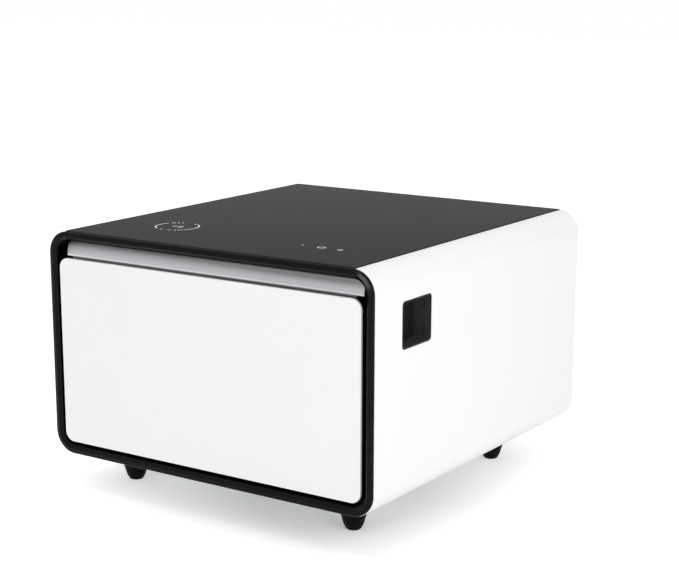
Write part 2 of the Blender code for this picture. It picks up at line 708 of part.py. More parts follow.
def make_charger_and_touch():
    """The charging coil on its board, and the touch board, under holes in the deck."""
    half = CHARGER_BOARD_SIZE / 2
    finish(box("charger_board", CHARGER_X - half, CHARGER_X + half, CHARGER_Y - half,
               CHARGER_Y + half, BOARD_TOP - BOARD_THICKNESS, BOARD_TOP), BOARD_GREEN)
    coil_radius = CHARGER_HOLE_RADIUS - CHARGER_COIL_GAP
    coil = extruded("charger_coil", [circle(CHARGER_X, CHARGER_Y, coil_radius),
                                     circle(CHARGER_X, CHARGER_Y, CHARGER_COIL_INNER_RADIUS)],
                    "Z", DECK_BOTTOM, LEDGE_TOP - CLEARANCE)
    finish(coil, COPPER)
    length_half = TOUCH_SLOT_LENGTH / 2 + TOUCH_BOARD_MARGIN
    width_half = TOUCH_SLOT_WIDTH / 2 + TOUCH_BOARD_MARGIN
    finish(box("touch_board", TOUCH_X - length_half, TOUCH_X + length_half, TOUCH_Y - width_half,
               TOUCH_Y + width_half, BOARD_TOP - BOARD_THICKNESS, BOARD_TOP), BOARD_GREEN)


def make_foam():
    """The insulation between the shells and the liner, cut for what is set into it."""
    outline = rounded(-FOAM_HALF, FOAM_HALF, FOAM_LOW, FOAM_HIGH, FOAM_RADIUS)
    foam = extruded("insulation_foam", [outline], "Y", FOAM_FRONT, FOAM_BACK)
    grow = LINER_WALL + CLEARANCE
    cavity = box("liner_space", -CAVITY_HALF - grow, CAVITY_HALF + grow, FOAM_FRONT - OVERRUN,
                 EVAPORATOR_BACK + CLEARANCE, CAVITY_LOW - grow, CAVITY_HIGH + grow)
    add_boolean(foam, cavity)
    (y_low, y_high), (z_low, z_high) = back_box_span(BACK_BOX_WALL + CLEARANCE)
    add_boolean(foam, box("outlet_space", BACK_BOX_IN - CLEARANCE, FOAM_HALF + OVERRUN,
                          y_low, y_high, z_low, z_high))
    pocket_low = FOAM_HIGH - BOARD_POCKET_DEPTH
    half = CHARGER_BOARD_SIZE / 2 + CLEARANCE
    add_boolean(foam, box("charger_pocket", CHARGER_X - half, CHARGER_X + half, CHARGER_Y - half,
                          CHARGER_Y + half, pocket_low, FOAM_HIGH + OVERRUN))
    length_half = TOUCH_SLOT_LENGTH / 2 + TOUCH_BOARD_MARGIN + CLEARANCE
    width_half = TOUCH_SLOT_WIDTH / 2 + TOUCH_BOARD_MARGIN + CLEARANCE
    add_boolean(foam, box("touch_pocket", TOUCH_X - length_half, TOUCH_X + length_half,
                          TOUCH_Y - width_half, TOUCH_Y + width_half, pocket_low,
                          FOAM_HIGH + OVERRUN))
    finish(foam, FOAM)


def make_liner():
    """The white tub that lines the cold space, its front flange, evaporator and light."""
    reach = COLLAR_WALL
    flange_outline = rounded(-MOUTH_HALF - reach, MOUTH_HALF + reach, MOUTH_LOW - reach,
                             MOUTH_HIGH + reach, MOUTH_RADIUS + reach)
    liner = extruded("cavity_liner", [flange_outline], "Y", LINER_FRONT, LINER_FRONT + LINER_WALL)
    tub = box("liner_tub", -CAVITY_HALF - LINER_WALL, CAVITY_HALF + LINER_WALL,
              LINER_FRONT + LINER_WALL / 2, LINER_BACK, CAVITY_LOW - LINER_WALL,
              CAVITY_HIGH + LINER_WALL)
    add_boolean(liner, tub, 'UNION')
    add_boolean(liner, box("liner_inside", -CAVITY_HALF, CAVITY_HALF, LINER_FRONT - OVERRUN,
                           CAVITY_BACK, CAVITY_LOW, CAVITY_HIGH))
    finish(liner, INNER_WHITE)
    plate_half = CAVITY_HALF - EVAPORATOR_SIDE_MARGIN
    finish(box("evaporator_plate", -plate_half, plate_half, EVAPORATOR_FRONT, EVAPORATOR_BACK,
               CAVITY_LOW + EVAPORATOR_END_MARGIN, CAVITY_HIGH - EVAPORATOR_END_MARGIN),
           SILVER)
    light_front = LINER_FRONT + LIGHT_SETBACK
    light = box("cavity_light", -LIGHT_WIDTH / 2, LIGHT_WIDTH / 2, light_front,
                light_front + LIGHT_LENGTH, CAVITY_HIGH - CLEARANCE - LIGHT_THICKNESS,
                CAVITY_HIGH - CLEARANCE)
    finish(light, LAMP)


def make_back_panel():
    """The rear cover with its vent slots and the gland of the supply lead."""
    outline = rounded(-FOAM_HALF, FOAM_HALF, PAN_BOTTOM, FOAM_HIGH, FOAM_RADIUS)
    outlines = [outline, circle(GLAND_X, BODY_BOTTOM + GLAND_RISE, GLAND_BARREL_RADIUS + CLEARANCE,
                                SMALL_TURN_STEPS)]
    for column in range(VENT_COLUMNS):
        x = FAN_X + (column - (VENT_COLUMNS - 1) / 2) * VENT_PITCH_X
        for row in range(VENT_ROWS):
            z = BODY_BOTTOM + VENT_LOWEST_RISE + row * VENT_PITCH_Z
            outlines.append(slot_outline(x, z, VENT_LENGTH, VENT_HEIGHT, VENT_END_STEPS))
    finish(extruded("back_panel", outlines, "Y", PANEL_FRONT, PANEL_BACK), WHITE_COAT)
    flange = GLAND_FLANGE_THICKNESS
    profile = [(GLAND_FLANGE_RADIUS, flange), (GLAND_FLANGE_RADIUS, 0), (GLAND_BARREL_RADIUS, 0),
               (GLAND_BARREL_RADIUS, -GLAND_BARREL_LENGTH), (GLAND_BORE_RADIUS, -GLAND_BARREL_LENGTH),
               (GLAND_BORE_RADIUS, flange)]
    gland = turned("cord_gland", profile,
                   (GLAND_X, PANEL_BACK + CLEARANCE, BODY_BOTTOM + GLAND_RISE), True,
                   SMALL_TURN_STEPS)
    gland.rotation_euler = (-math.pi / 2, 0, 0)
    finish(gland, BLACK_SATIN)


def foot_places():
    """Name and place (x, y) of the four feet."""
    front_y = FRONT + FOOT_FRONT_SETBACK
    rear_y = BACK - FOOT_REAR_SETBACK
    return (("front_left", -FOOT_X, front_y), ("front_right", FOOT_X, front_y),
            ("rear_left", -FOOT_X, rear_y), ("rear_right", FOOT_X, rear_y))


def make_base():
    """The base pan, the four black feet and the screws that hold them."""
    pan_half = HALF_WIDTH - SHELL_RADIUS - PAN_CORNER_GAP
    screw_holes = [circle(x, y, SCREW_RADIUS + CLEARANCE, SMALL_TURN_STEPS)
                   for _, x, y in foot_places()]
    pan = extruded("base_pan", [rectangle(-pan_half, pan_half, SHELL_FRONT, PANEL_FRONT - CLEARANCE),
                                *screw_holes], "Z", PAN_BOTTOM, PAN_TOP)
    finish(pan, STEEL)
    foot_top = PAN_BOTTOM - CLEARANCE
    access_top = foot_top - FOOT_FLOOR_THICKNESS
    access = SCREW_HEAD_RADIUS + SCREW_HEAD_GAP
    bore = SCREW_RADIUS + CLEARANCE
    foot_profile = [(bore, foot_top), (FOOT_TOP_RADIUS, foot_top),
                    (FOOT_ANKLE_RADIUS, FOOT_ANKLE_HEIGHT), (FOOT_TOE_RADIUS, FOOT_TOE_HEIGHT),
                    (FOOT_SOLE_ROUND_RADIUS, FOOT_SOLE_ROUND_HEIGHT), (FOOT_SOLE_RADIUS, 0),
                    (access, 0), (access, access_top), (bore, access_top)]
    head_top = access_top - CLEARANCE
    head_bottom = head_top - SCREW_HEAD_HEIGHT
    screw_profile = [(0, PAN_TOP - CLEARANCE), (SCREW_RADIUS, PAN_TOP - CLEARANCE),
                     (SCREW_RADIUS, head_top), (SCREW_HEAD_RADIUS, head_top),
                     (SCREW_HEAD_RADIUS, head_bottom), (0, head_bottom)]
    for place, x, y in foot_places():
        finish(turned("foot_" + place, foot_profile, (x, y, 0), True), BLACK_SATIN)
        finish(turned("foot_screw_" + place, screw_profile, (x, y, 0), False, SMALL_TURN_STEPS),
               STEEL)


def bezel_outline(grow):
    """Outline (y, z) of the outlet bezel, grown by a clearance."""
    half_y = BEZEL_WIDTH / 2 + grow
    half_z = BEZEL_HEIGHT / 2 + grow
    return rounded(BEZEL_Y - half_y, BEZEL_Y + half_y, BEZEL_Z - half_z, BEZEL_Z + half_z,
                   BEZEL_RADIUS + grow, SMALL_CORNER_STEPS)


def back_box_span(grow):
    """Low and high y, and low and high z, of the inside of the outlet's back box, grown."""
    half_y = BEZEL_WIDTH / 2 + CLEARANCE + grow
    half_z = BEZEL_HEIGHT / 2 + CLEARANCE + grow
    return ((BEZEL_Y - half_y, BEZEL_Y + half_y + USB_BODY_DEPTH + BACK_BOX_USB_GAP),
            (BEZEL_Z - half_z, BEZEL_Z + half_z))


def usb_heights():
    """Middle heights of the two charging ports."""
    return BEZEL_Z + USB_SPACING / 2, BEZEL_Z - USB_SPACING / 2


def usb_outline(grow):
    """Outlines (x, z) of the two charging ports, grown."""
    x = BEZEL_OUT - USB_DEPTH_IN_RECESS
    half_x = USB_PORT_WIDTH / 2 + grow
    half_z = USB_PORT_HEIGHT / 2 + grow
    return [rectangle(x - half_x, x + half_x, z - half_z, z + half_z) for z in usb_heights()]


def make_outlet_recess():
    """The recess in the right side: bezel, mains outlet, charging ports and the box behind."""
    half_y = BEZEL_WIDTH / 2 - BEZEL_RIM
    half_z = BEZEL_HEIGHT / 2 - BEZEL_RIM
    bezel = extruded("outlet_bezel", [bezel_outline(0)], "X", BEZEL_IN, BEZEL_OUT)
    hollow = rounded(BEZEL_Y - half_y, BEZEL_Y + half_y, BEZEL_Z - half_z, BEZEL_Z + half_z,
                     BEZEL_RADIUS - BEZEL_RIM, SMALL_CORNER_STEPS)
    add_boolean(bezel, extruded("recess", [hollow], "X", RECESS_FLOOR_X, BEZEL_OUT + OVERRUN))
    outlet_y = OUTLET_WIDTH / 2
    outlet_z = OUTLET_HEIGHT / 2
    grow = CLEARANCE
    add_boolean(bezel, box("outlet_hole", BEZEL_IN - OVERRUN, RECESS_FLOOR_X + OVERRUN,
                           BEZEL_Y - outlet_y - grow, BEZEL_Y + outlet_y + grow,
                           BEZEL_Z - outlet_z - grow, BEZEL_Z + outlet_z + grow))
    wall_in = BEZEL_Y + half_y
    wall_out = BEZEL_Y + BEZEL_WIDTH / 2
    for number, outline in enumerate(usb_outline(CLEARANCE)):
        add_boolean(bezel, extruded("usb_hole_%d" % number, [outline], "Y", wall_in - OVERRUN,
                                    wall_out + OVERRUN))
    finish(bezel, BLACK_SATIN)
    make_mains_outlet(outlet_y, outlet_z)
    make_usb_module(wall_in, wall_out)
    (y_low, y_high), (z_low, z_high) = back_box_span(0)
    wall = BACK_BOX_WALL
    back_box = box("outlet_back_box", BACK_BOX_IN, BACK_BOX_OUT, y_low - wall, y_high + wall,
                   z_low - wall, z_high + wall)
    add_boolean(back_box, box("back_box_inside", BACK_BOX_IN + wall, BACK_BOX_OUT + OVERRUN,
                              y_low, y_high, z_low, z_high))
    finish(back_box, STEEL)


def make_mains_outlet(outlet_y, outlet_z):
    """The mains outlet in the recess floor, with two blade slots and an earth hole."""
    face_x = RECESS_FLOOR_X + OUTLET_PROUD
    outlet = box("mains_outlet", BEZEL_IN - OUTLET_BODY_DEPTH, face_x, BEZEL_Y - outlet_y,
                 BEZEL_Y + outlet_y, BEZEL_Z - outlet_z, BEZEL_Z + outlet_z)
    slot_in = face_x - OUTLET_SLOT_DEPTH
    for number, side in enumerate((-1, 1)):
        y = BEZEL_Y + side * OUTLET_BLADE_SPACING / 2
        slot = box("blade_slot_%d" % number, slot_in, face_x + OVERRUN,
                   y - OUTLET_BLADE_WIDTH / 2, y + OUTLET_BLADE_WIDTH / 2,
                   BEZEL_Z - OUTLET_BLADE_HEIGHT / 2, BEZEL_Z + OUTLET_BLADE_HEIGHT / 2)
        add_boolean(outlet, slot)
    earth_x = (slot_in + face_x + OVERRUN) / 2
    earth = cylinder("earth_hole", (earth_x, BEZEL_Y, BEZEL_Z - OUTLET_EARTH_DROP),
                     OUTLET_EARTH_RADIUS, face_x + OVERRUN - slot_in, "X")
    add_boolean(outlet, earth)
    finish(outlet, BLACK_SATIN)


def make_usb_module(wall_in, wall_out):
    """Two charging ports in one module, set through the recess's rear wall."""
    x = BEZEL_OUT - USB_DEPTH_IN_RECESS
    half_x = USB_BODY_WIDTH / 2
    half_z = (USB_SPACING + USB_PORT_HEIGHT) / 2 + USB_BODY_MARGIN
    body_front = wall_out + CLEARANCE
    module = box("usb_module", x - half_x, x + half_x, body_front, body_front + USB_BODY_DEPTH,
                 BEZEL_Z - half_z, BEZEL_Z + half_z)
    half_port = USB_PORT_WIDTH / 2 - USB_PORT_WALL
    half_port_z = USB_PORT_HEIGHT / 2 - USB_PORT_WALL
    tongue_x = x - half_port + USB_TONGUE
    for number, outline in enumerate(usb_outline(0)):
        add_boolean(module, extruded("usb_stub_%d" % number, [outline], "Y", wall_in,
                                     body_front + USB_BODY_DEPTH / 2), 'UNION')
    for number, z in enumerate(usb_heights()):
        add_boolean(module, box("usb_mouth_%d" % number, tongue_x, x + half_port,
                                wall_in - OVERRUN, wall_in + USB_PORT_DEPTH,
                                z - half_port_z, z + half_port_z))
    finish(module, STEEL)


def channel_depth(share):
    """Depth behind the frame's face of the channel's face, from its lip (0) to its top (1)."""
    straight = CHANNEL_LIP_DEPTH + (CHANNEL_TOP_DEPTH - CHANNEL_LIP_DEPTH) * share
    return straight + CHANNEL_HOLLOW * 4 * share * (1 - share)


def channel_line(back, foot_z):
    """Points (y, z) of the channel's face, moved back, from its foot up to its top."""
    points = [(FRONT + CHANNEL_LIP_DEPTH + back, foot_z)]
    for step in range(CHANNEL_STEPS + 1):
        share = step / CHANNEL_STEPS
        points.append((FRONT + channel_depth(share) + back,
                       CHANNEL_LIP + (CHANNEL_HIGH - CHANNEL_LIP) * share))
    return points


def deepest_channel():
    """The greatest depth of the channel's face behind the frame's face."""
    return max(channel_depth(step / CHANNEL_STEPS) for step in range(CHANNEL_STEPS + 1))


def make_drawer_front():
    """The white panel, the black carrier, the channel and its backing, foam and gasket."""
    panel = extruded("door_panel", [rounded(-DOOR_HALF, DOOR_HALF, DOOR_LOW, DOOR_HIGH,
                                            DOOR_RADIUS)], "Y", DOOR_FRONT, DOOR_BACK)
    finish(bevel_edges(panel, DOOR_EDGE_ROUND, DOOR_EDGE_STEPS), WHITE_GLOSS)

    # The carrier ends at the floor of the finger slot, and the backing stands on it
    outline = rounded(-CARRIER_HALF, CARRIER_HALF, CARRIER_LOW, CARRIER_HIGH, CARRIER_RADIUS)
    before_front = CARRIER_FRONT - OVERRUN
    past_back = CARRIER_BACK + OVERRUN
    below = [(before_front, CARRIER_LOW - OVERRUN), (past_back, CARRIER_LOW - OVERRUN),
             (past_back, SLOT_LOW), (before_front, SLOT_LOW)]
    behind = channel_line(CHANNEL_SHEET + CLEARANCE, SLOT_LOW + CLEARANCE)
    above = behind + [(behind[-1][0], CARRIER_HIGH + OVERRUN),
                      (past_back, CARRIER_HIGH + OVERRUN), (past_back, SLOT_LOW + CLEARANCE)]
    pocket_half = CARRIER_HALF - CARRIER_SIDE_WALL
    for name, section in (("door_carrier", below), ("channel_backing", above)):
        body = extruded(name, [outline], "Y", CARRIER_FRONT, CARRIER_BACK)
        add_boolean(body, extruded(name + "_section", [section], "X", -HALF_WIDTH, HALF_WIDTH),
                    'INTERSECT')
        add_boolean(body, extruded(name + "_pocket", [pocket_outline(0, OVERRUN)], "X",
                                   -pocket_half, pocket_half))
        finish(body, BLACK_SATIN)
    foam = extruded("door_insulation", [pocket_outline(CLEARANCE, 0)], "X",
                    -pocket_half + CLEARANCE, pocket_half - CLEARANCE)
    finish(foam, FOAM)

    face = channel_line(0, SLOT_LOW + CLEARANCE)
    rear = channel_line(CHANNEL_SHEET, SLOT_LOW + CLEARANCE)
    channel = extruded("handle_channel", [face + rear[::-1]], "X", -CHANNEL_HALF - OVERRUN,
                       CHANNEL_HALF + OVERRUN)
    ends = rounded(-CHANNEL_HALF, CHANNEL_HALF, SLOT_LOW - CHANNEL_RADIUS, CHANNEL_HIGH + CLEARANCE,
                   CHANNEL_RADIUS)
    add_boolean(channel, extruded("channel_ends", [ends], "Y", FRONT,
                                  FRONT + deepest_channel() + OVERRUN), 'INTERSECT')
    for name, side in (("left", -1), ("right", 1)):
        skirt_end = sorted((side * CHANNEL_SKIRT_HALF, side * HALF_WIDTH))
        add_boolean(channel, box("beside_skirt_" + name, *skirt_end, FRONT,
                                 FRONT + deepest_channel() + OVERRUN, SLOT_LOW, CHANNEL_LIP))
    finish(channel, SILVER)

    liner = extruded("door_liner", [outline], "Y", DOOR_LINER_FRONT, DOOR_LINER_BACK)
    finish(liner, INNER_WHITE)
    low = GASKET_MARGIN
    high = GASKET_MARGIN + GASKET_WIDTH
    rings = [rounded(-CAVITY_HALF - reach, CAVITY_HALF + reach, CAVITY_LOW - reach,
                     CAVITY_HIGH + reach, GASKET_RADIUS + reach, SMALL_CORNER_STEPS)
             for reach in (high, low)]
    finish(extruded("door_gasket", rings, "Y", GASKET_FRONT, GASKET_BACK), GREY)


def pocket_outline(gap, overrun):
    """Outline (y, z) of the carrier's foam pocket, shrunk by a gap: shallower behind the channel."""
    front = CARRIER_FRONT + CARRIER_FRONT_WALL + gap
    upper_front = (FRONT + deepest_channel() + CHANNEL_SHEET + CLEARANCE + CARRIER_FRONT_WALL + gap)
    low = CARRIER_LOW + CARRIER_SIDE_WALL + gap
    step = SLOT_LOW - CARRIER_FRONT_WALL - gap
    high = CARRIER_HIGH - CARRIER_SIDE_WALL - gap
    back = CARRIER_BACK + overrun
    return [(front, low), (back, low), (back, high), (upper_front, high), (upper_front, step),
            (front, step)]


def rail_profile(side, out, into, height, web_outside):
    """Outline (x, z) of a channel rail between two x places, with its web on one side."""
    half = height / 2
    sheet = RAIL_SHEET
    z = RAIL_MIDDLE_Z
    web, lip = (out, into) if web_outside else (into, out)
    inward = -1 if web_outside else 1
    points = [(web, z - half), (lip, z - half), (lip, z - half + sheet),
              (web + inward * sheet, z - half + sheet), (web + inward * sheet, z + half - sheet),
              (lip, z + half - sheet), (lip, z + half), (web, z + half)]
    return [(side * x, height_z) for x, height_z in points]


def make_rails():
    """Three nested channels on each side: on the cabinet, between, and on the drawer."""
    step = RAIL_SHEET + RAIL_RUNNING_GAP
    for name, side in (("left", -1), ("right", 1)):
        height = RAIL_HEIGHT
        outer = rail_profile(side, RAIL_OUT, RAIL_IN + step, height, True)
        middle = rail_profile(side, RAIL_OUT - step, RAIL_IN + step, height - 2 * step, True)
        inner = rail_profile(side, RAIL_OUT - 2 * step, RAIL_IN, height - 4 * step, False)
        for part, outline in (("outer", outer), ("middle", middle), ("inner", inner)):
            rail = extruded("rail_%s_%s" % (part, name), [outline], "Y", RAIL_FRONT, RAIL_BACK)
            finish(rail, STEEL)


def make_bin():
    """The drawer's bin, its divider and the two brackets that carry it on the slides."""
    for name, side in (("left", -1), ("right", 1)):
        top = BRACKET_LOW + BRACKET_HEIGHT
        shelf_in = BRACKET_IN - BRACKET_SHELF
        points = [(BRACKET_OUT, BRACKET_LOW), (BRACKET_OUT, top), (BRACKET_IN, top),
                  (BRACKET_IN, BRACKET_LOW + BRACKET_SHEET),
                  (shelf_in, BRACKET_LOW + BRACKET_SHEET), (shelf_in, BRACKET_LOW)]
        bracket = extruded("drawer_bracket_" + name, [[(side * x, z) for x, z in points]], "Y",
                           BRACKET_FRONT, RAIL_BACK)
        x_ends = sorted((side * BRACKET_OUT, side * (BRACKET_OUT - BRACKET_FLANGE)))
        flange = box("bracket_flange_" + name, *x_ends, BRACKET_FRONT,
                     BRACKET_FRONT + BRACKET_SHEET, BRACKET_LOW, top)
        add_boolean(bracket, flange, 'UNION')
        finish(bracket, STEEL)

    outline = rounded(-BIN_HALF, BIN_HALF, BIN_FRONT, BIN_BACK, BIN_RADIUS, SMALL_CORNER_STEPS)
    bin_body = extruded("drawer_bin", [outline], "Z", BIN_LOW, BIN_HIGH)
    inside = rounded(-BIN_HALF + BIN_WALL, BIN_HALF - BIN_WALL, BIN_FRONT + BIN_WALL,
                     BIN_BACK - BIN_WALL, BIN_RADIUS - BIN_WALL, SMALL_CORNER_STEPS)
    add_boolean(bin_body, extruded("bin_inside", [inside], "Z", BIN_LOW + BIN_WALL,
                                   BIN_HIGH + OVERRUN))
    finish(bin_body, INNER_WHITE)
    divider_y = BIN_FRONT + (BIN_BACK - BIN_FRONT) * DIVIDER_PLACE_SHARE
    divider_half = BIN_HALF - BIN_WALL - CLEARANCE
    divider_low = BIN_LOW + BIN_WALL + CLEARANCE
    finish(box("bin_divider", -divider_half, divider_half, divider_y,
               divider_y + DIVIDER_THICKNESS, divider_low, BIN_HIGH - DIVIDER_DROP),
           INNER_WHITE)


def compressor_height(radius):
    """Height of the compressor's dome above its can's foot, at a radius."""
    flat = COMPRESSOR_HEIGHT - COMPRESSOR_DOME
    return flat + COMPRESSOR_DOME * math.sqrt(1 - (radius / COMPRESSOR_RADIUS) ** 2)


def make_compressor():
    """The compressor with its foot plate, four rubber grommets and the start relay."""
    grommet_low = PAN_TOP + CLEARANCE
    plate_low = grommet_low + GROMMET_HEIGHT + CLEARANCE
    can_low = plate_low - COMPRESSOR_DROP
    dome_steps = SMALL_CORNER_STEPS * 2
    profile = []
    for step in range(dome_steps + 1):
        angle = math.radians(90 * step / dome_steps)
        profile.append((COMPRESSOR_RADIUS * math.sin(angle),
                        COMPRESSOR_HEIGHT - COMPRESSOR_DOME * (1 - math.cos(angle))))
    for step in range(SMALL_CORNER_STEPS + 1):
        angle = math.radians(90 * step / SMALL_CORNER_STEPS)
        profile.append((COMPRESSOR_RADIUS * math.cos(angle),
                        COMPRESSOR_BOWL * (1 - math.sin(angle))))
    profile[-1] = (0, 0)
    profile[0] = (0, COMPRESSOR_HEIGHT)
    can = turned("compressor", profile, (COMPRESSOR_X, COMPRESSOR_Y, can_low))
    half_x = COMPRESSOR_PLATE_LENGTH / 2
    half_y = COMPRESSOR_PLATE_WIDTH / 2
    plate = box("compressor_plate", COMPRESSOR_X - half_x, COMPRESSOR_X + half_x,
                COMPRESSOR_Y - half_y, COMPRESSOR_Y + half_y, plate_low,
                plate_low + COMPRESSOR_PLATE_SHEET)
    add_boolean(can, plate, 'UNION')
    finish(can, BLACK_SATIN)

    grommet_profile = [(0, GROMMET_HEIGHT), (GROMMET_RADIUS, GROMMET_HEIGHT),
                       (GROMMET_WAIST_RADIUS, GROMMET_HEIGHT / 2), (GROMMET_RADIUS, 0), (0, 0)]
    places = [(sx, sy) for sx in (-1, 1) for sy in (-1, 1)]
    for number, (sx, sy) in enumerate(places, 1):
        place = (COMPRESSOR_X + sx * COMPRESSOR_HOLD_SPACING_X / 2,
                 COMPRESSOR_Y + sy * COMPRESSOR_HOLD_SPACING_Y / 2, grommet_low)
        finish(turned("compressor_grommet_%d" % number, grommet_profile, place, False,
                      SMALL_TURN_STEPS), RUBBER)
    relay_x = COMPRESSOR_X + COMPRESSOR_RADIUS + CLEARANCE
    relay_z = can_low + RELAY_RISE
    finish(box("start_relay", relay_x, relay_x + RELAY_LENGTH, COMPRESSOR_Y - RELAY_WIDTH / 2,
               COMPRESSOR_Y + RELAY_WIDTH / 2, relay_z, relay_z + RELAY_HEIGHT), BLACK_SATIN)


def make_cooling_circuit():
    """The condenser coil, the drier and the pipes between compressor, coil and evaporator."""
    coil_y = PANEL_FRONT - COIL_BACK_DISTANCE
    lowest = PAN_TOP + CLEARANCE + COIL_TUBE_RADIUS
    highest = lowest + COIL_PITCH * (COIL_RUNS - 1)
    bend = COIL_PITCH / 2
    route = [(COIL_LEFT_X, coil_y, highest)]
    for run in range(COIL_RUNS - 1):
        z = highest - run * COIL_PITCH
        going_right = run % 2 == 0
        turn_x = COIL_RIGHT_X if going_right else COIL_LEFT_X
        way = 1 if going_right else -1
        for x, height in arc(0, 0, bend, 90, -90, COIL_RETURN_STEPS):
            route.append((turn_x + way * x, coil_y, z - bend + height))
    drier_y = FOAM_BACK + CLEARANCE + DRIER_RADIUS
    drier_low = BODY_BOTTOM + DRIER_RISE
    last_x = COIL_LEFT_X if COIL_RUNS % 2 == 0 else COIL_RIGHT_X
    side_x = last_x + (COIL_PITCH if last_x == COIL_RIGHT_X else -COIL_PITCH)
    corners = [(last_x, coil_y, lowest), (side_x, coil_y, lowest), (side_x, drier_y, lowest),
               (DRIER_X, drier_y, lowest), (DRIER_X, drier_y, drier_low - CLEARANCE)]
    route += bent_route(corners, bend, COIL_BEND_STEPS)[1:]
    finish(tube("condenser_coil", route, COIL_TUBE_RADIUS), COPPER)

    drier_profile = [(0, DRIER_LENGTH), (DRIER_NECK_RADIUS, DRIER_LENGTH),
                     (DRIER_RADIUS, DRIER_LENGTH - DRIER_TAPER), (DRIER_RADIUS, DRIER_TAPER),
                     (DRIER_NECK_RADIUS, 0), (0, 0)]
    finish(turned("filter_drier", drier_profile, (DRIER_X, drier_y, drier_low), False,
                  SMALL_TURN_STEPS), COPPER)

    can_low = PAN_TOP + CLEARANCE + GROMMET_HEIGHT + CLEARANCE - COMPRESSOR_DROP
    high = max(can_low + COMPRESSOR_HEIGHT, highest) + PIPE_RISE
    suction_x = COMPRESSOR_X + SUCTION_OFFSET_X
    suction_z = BODY_BOTTOM + SUCTION_FOAM_RISE
    pipe_foot = can_low + compressor_height(abs(SUCTION_OFFSET_X) - PIPE_RADIUS) + CLEARANCE
    corners = [(suction_x, COMPRESSOR_Y, pipe_foot), (suction_x, COMPRESSOR_Y, suction_z),
               (suction_x, FOAM_BACK + CLEARANCE, suction_z)]
    finish(tube("suction_pipe", bent_route(corners, PIPE_BEND_RADIUS, PIPE_BEND_STEPS),
                PIPE_RADIUS), COPPER)
    discharge_x = COMPRESSOR_X + DISCHARGE_OFFSET_X
    pipe_foot = can_low + compressor_height(abs(DISCHARGE_OFFSET_X) - COIL_TUBE_RADIUS) + CLEARANCE
    corners = [(discharge_x, COMPRESSOR_Y, pipe_foot), (discharge_x, COMPRESSOR_Y, high),
               (discharge_x, coil_y, high), (COIL_LEFT_X - COIL_PITCH * 2, coil_y, high),
               (COIL_LEFT_X - COIL_PITCH * 2, coil_y, highest),
               (COIL_LEFT_X - CLEARANCE, coil_y, highest)]
    finish(tube("discharge_pipe", bent_route(corners, bend, PIPE_BEND_STEPS), COIL_TUBE_RADIUS),
           COPPER)


def make_fan():
    """The condenser fan: a square housing with a motor on struts, and its rotor."""
    half = FAN_SIZE / 2
    bore = half - FAN_RIM
    middle_z = PAN_TOP + CLEARANCE + half
    back = PANEL_FRONT - FAN_BACK_DISTANCE
    front = back - FAN_THICKNESS
    outline = rounded(FAN_X - half, FAN_X + half, middle_z - half, middle_z + half,
                      FAN_CORNER_RADIUS, SMALL_CORNER_STEPS)
    housing = extruded("fan_housing", [outline, circle(FAN_X, middle_z, bore)], "Y",
                       front, back)
    motor_front = back - FAN_MOTOR_THICKNESS
    strut = FAN_STRUT_WIDTH / 2
    reach = (bore + half) / 2
    add_boolean(housing, box("fan_strut_flat", FAN_X - reach, FAN_X + reach, motor_front, back,
                             middle_z - strut, middle_z + strut), 'UNION')
    add_boolean(housing, box("fan_strut_upright", FAN_X - strut, FAN_X + strut, motor_front, back,
                             middle_z - reach, middle_z + reach), 'UNION')
    motor = cylinder("fan_motor", (FAN_X, back - FAN_MOTOR_THICKNESS / 2, middle_z),
                     FAN_MOTOR_RADIUS, FAN_MOTOR_THICKNESS, "Y", TURN_STEPS)
    add_boolean(housing, motor, 'UNION')
    finish(housing, BLACK_SATIN)

    hub_back = motor_front - CLEARANCE
    slant = math.radians(FAN_BLADE_PITCH_DEGREES)
    blade_depth = FAN_BLADE_CHORD * math.sin(slant) + FAN_BLADE_THICKNESS * math.cos(slant)
    hub_length = blade_depth + FAN_HUB_MARGIN * 2
    hub_middle = hub_back - hub_length / 2
    hub = cylinder("fan_rotor", (0, 0, 0), FAN_HUB_RADIUS, hub_length, "Y", TURN_STEPS)
    hub.location = (FAN_X, hub_middle, middle_z)
    blades = bpy.data.meshes.new("fan_blades")
    body = bmesh.new()
    inner = FAN_HUB_RADIUS / 2
    tip_reach = bore * math.cos(math.pi / TURN_STEPS) - FAN_TIP_GAP
    outer = math.sqrt(tip_reach ** 2 - (FAN_BLADE_CHORD / 2) ** 2)
    size = Matrix.Diagonal((outer - inner, FAN_BLADE_CHORD, FAN_BLADE_THICKNESS, 1))
    for blade in range(FAN_BLADES):
        turn = Matrix.Rotation(2 * math.pi * blade / FAN_BLADES, 4, 'Y')
        pitch = Matrix.Rotation(math.pi / 2 - slant, 4, 'X')
        out = Matrix.Translation(((outer + inner) / 2, 0, 0))
        bmesh.ops.create_cube(body, size=1, matrix=turn @ out @ pitch @ size)
    body.to_mesh(blades)
    body.free()
    blade_object = new_object("fan_blades", blades)
    blade_object.location = hub.location
    add_boolean(hub, blade_object, 'UNION')
    finish(hub, BLACK_SATIN)


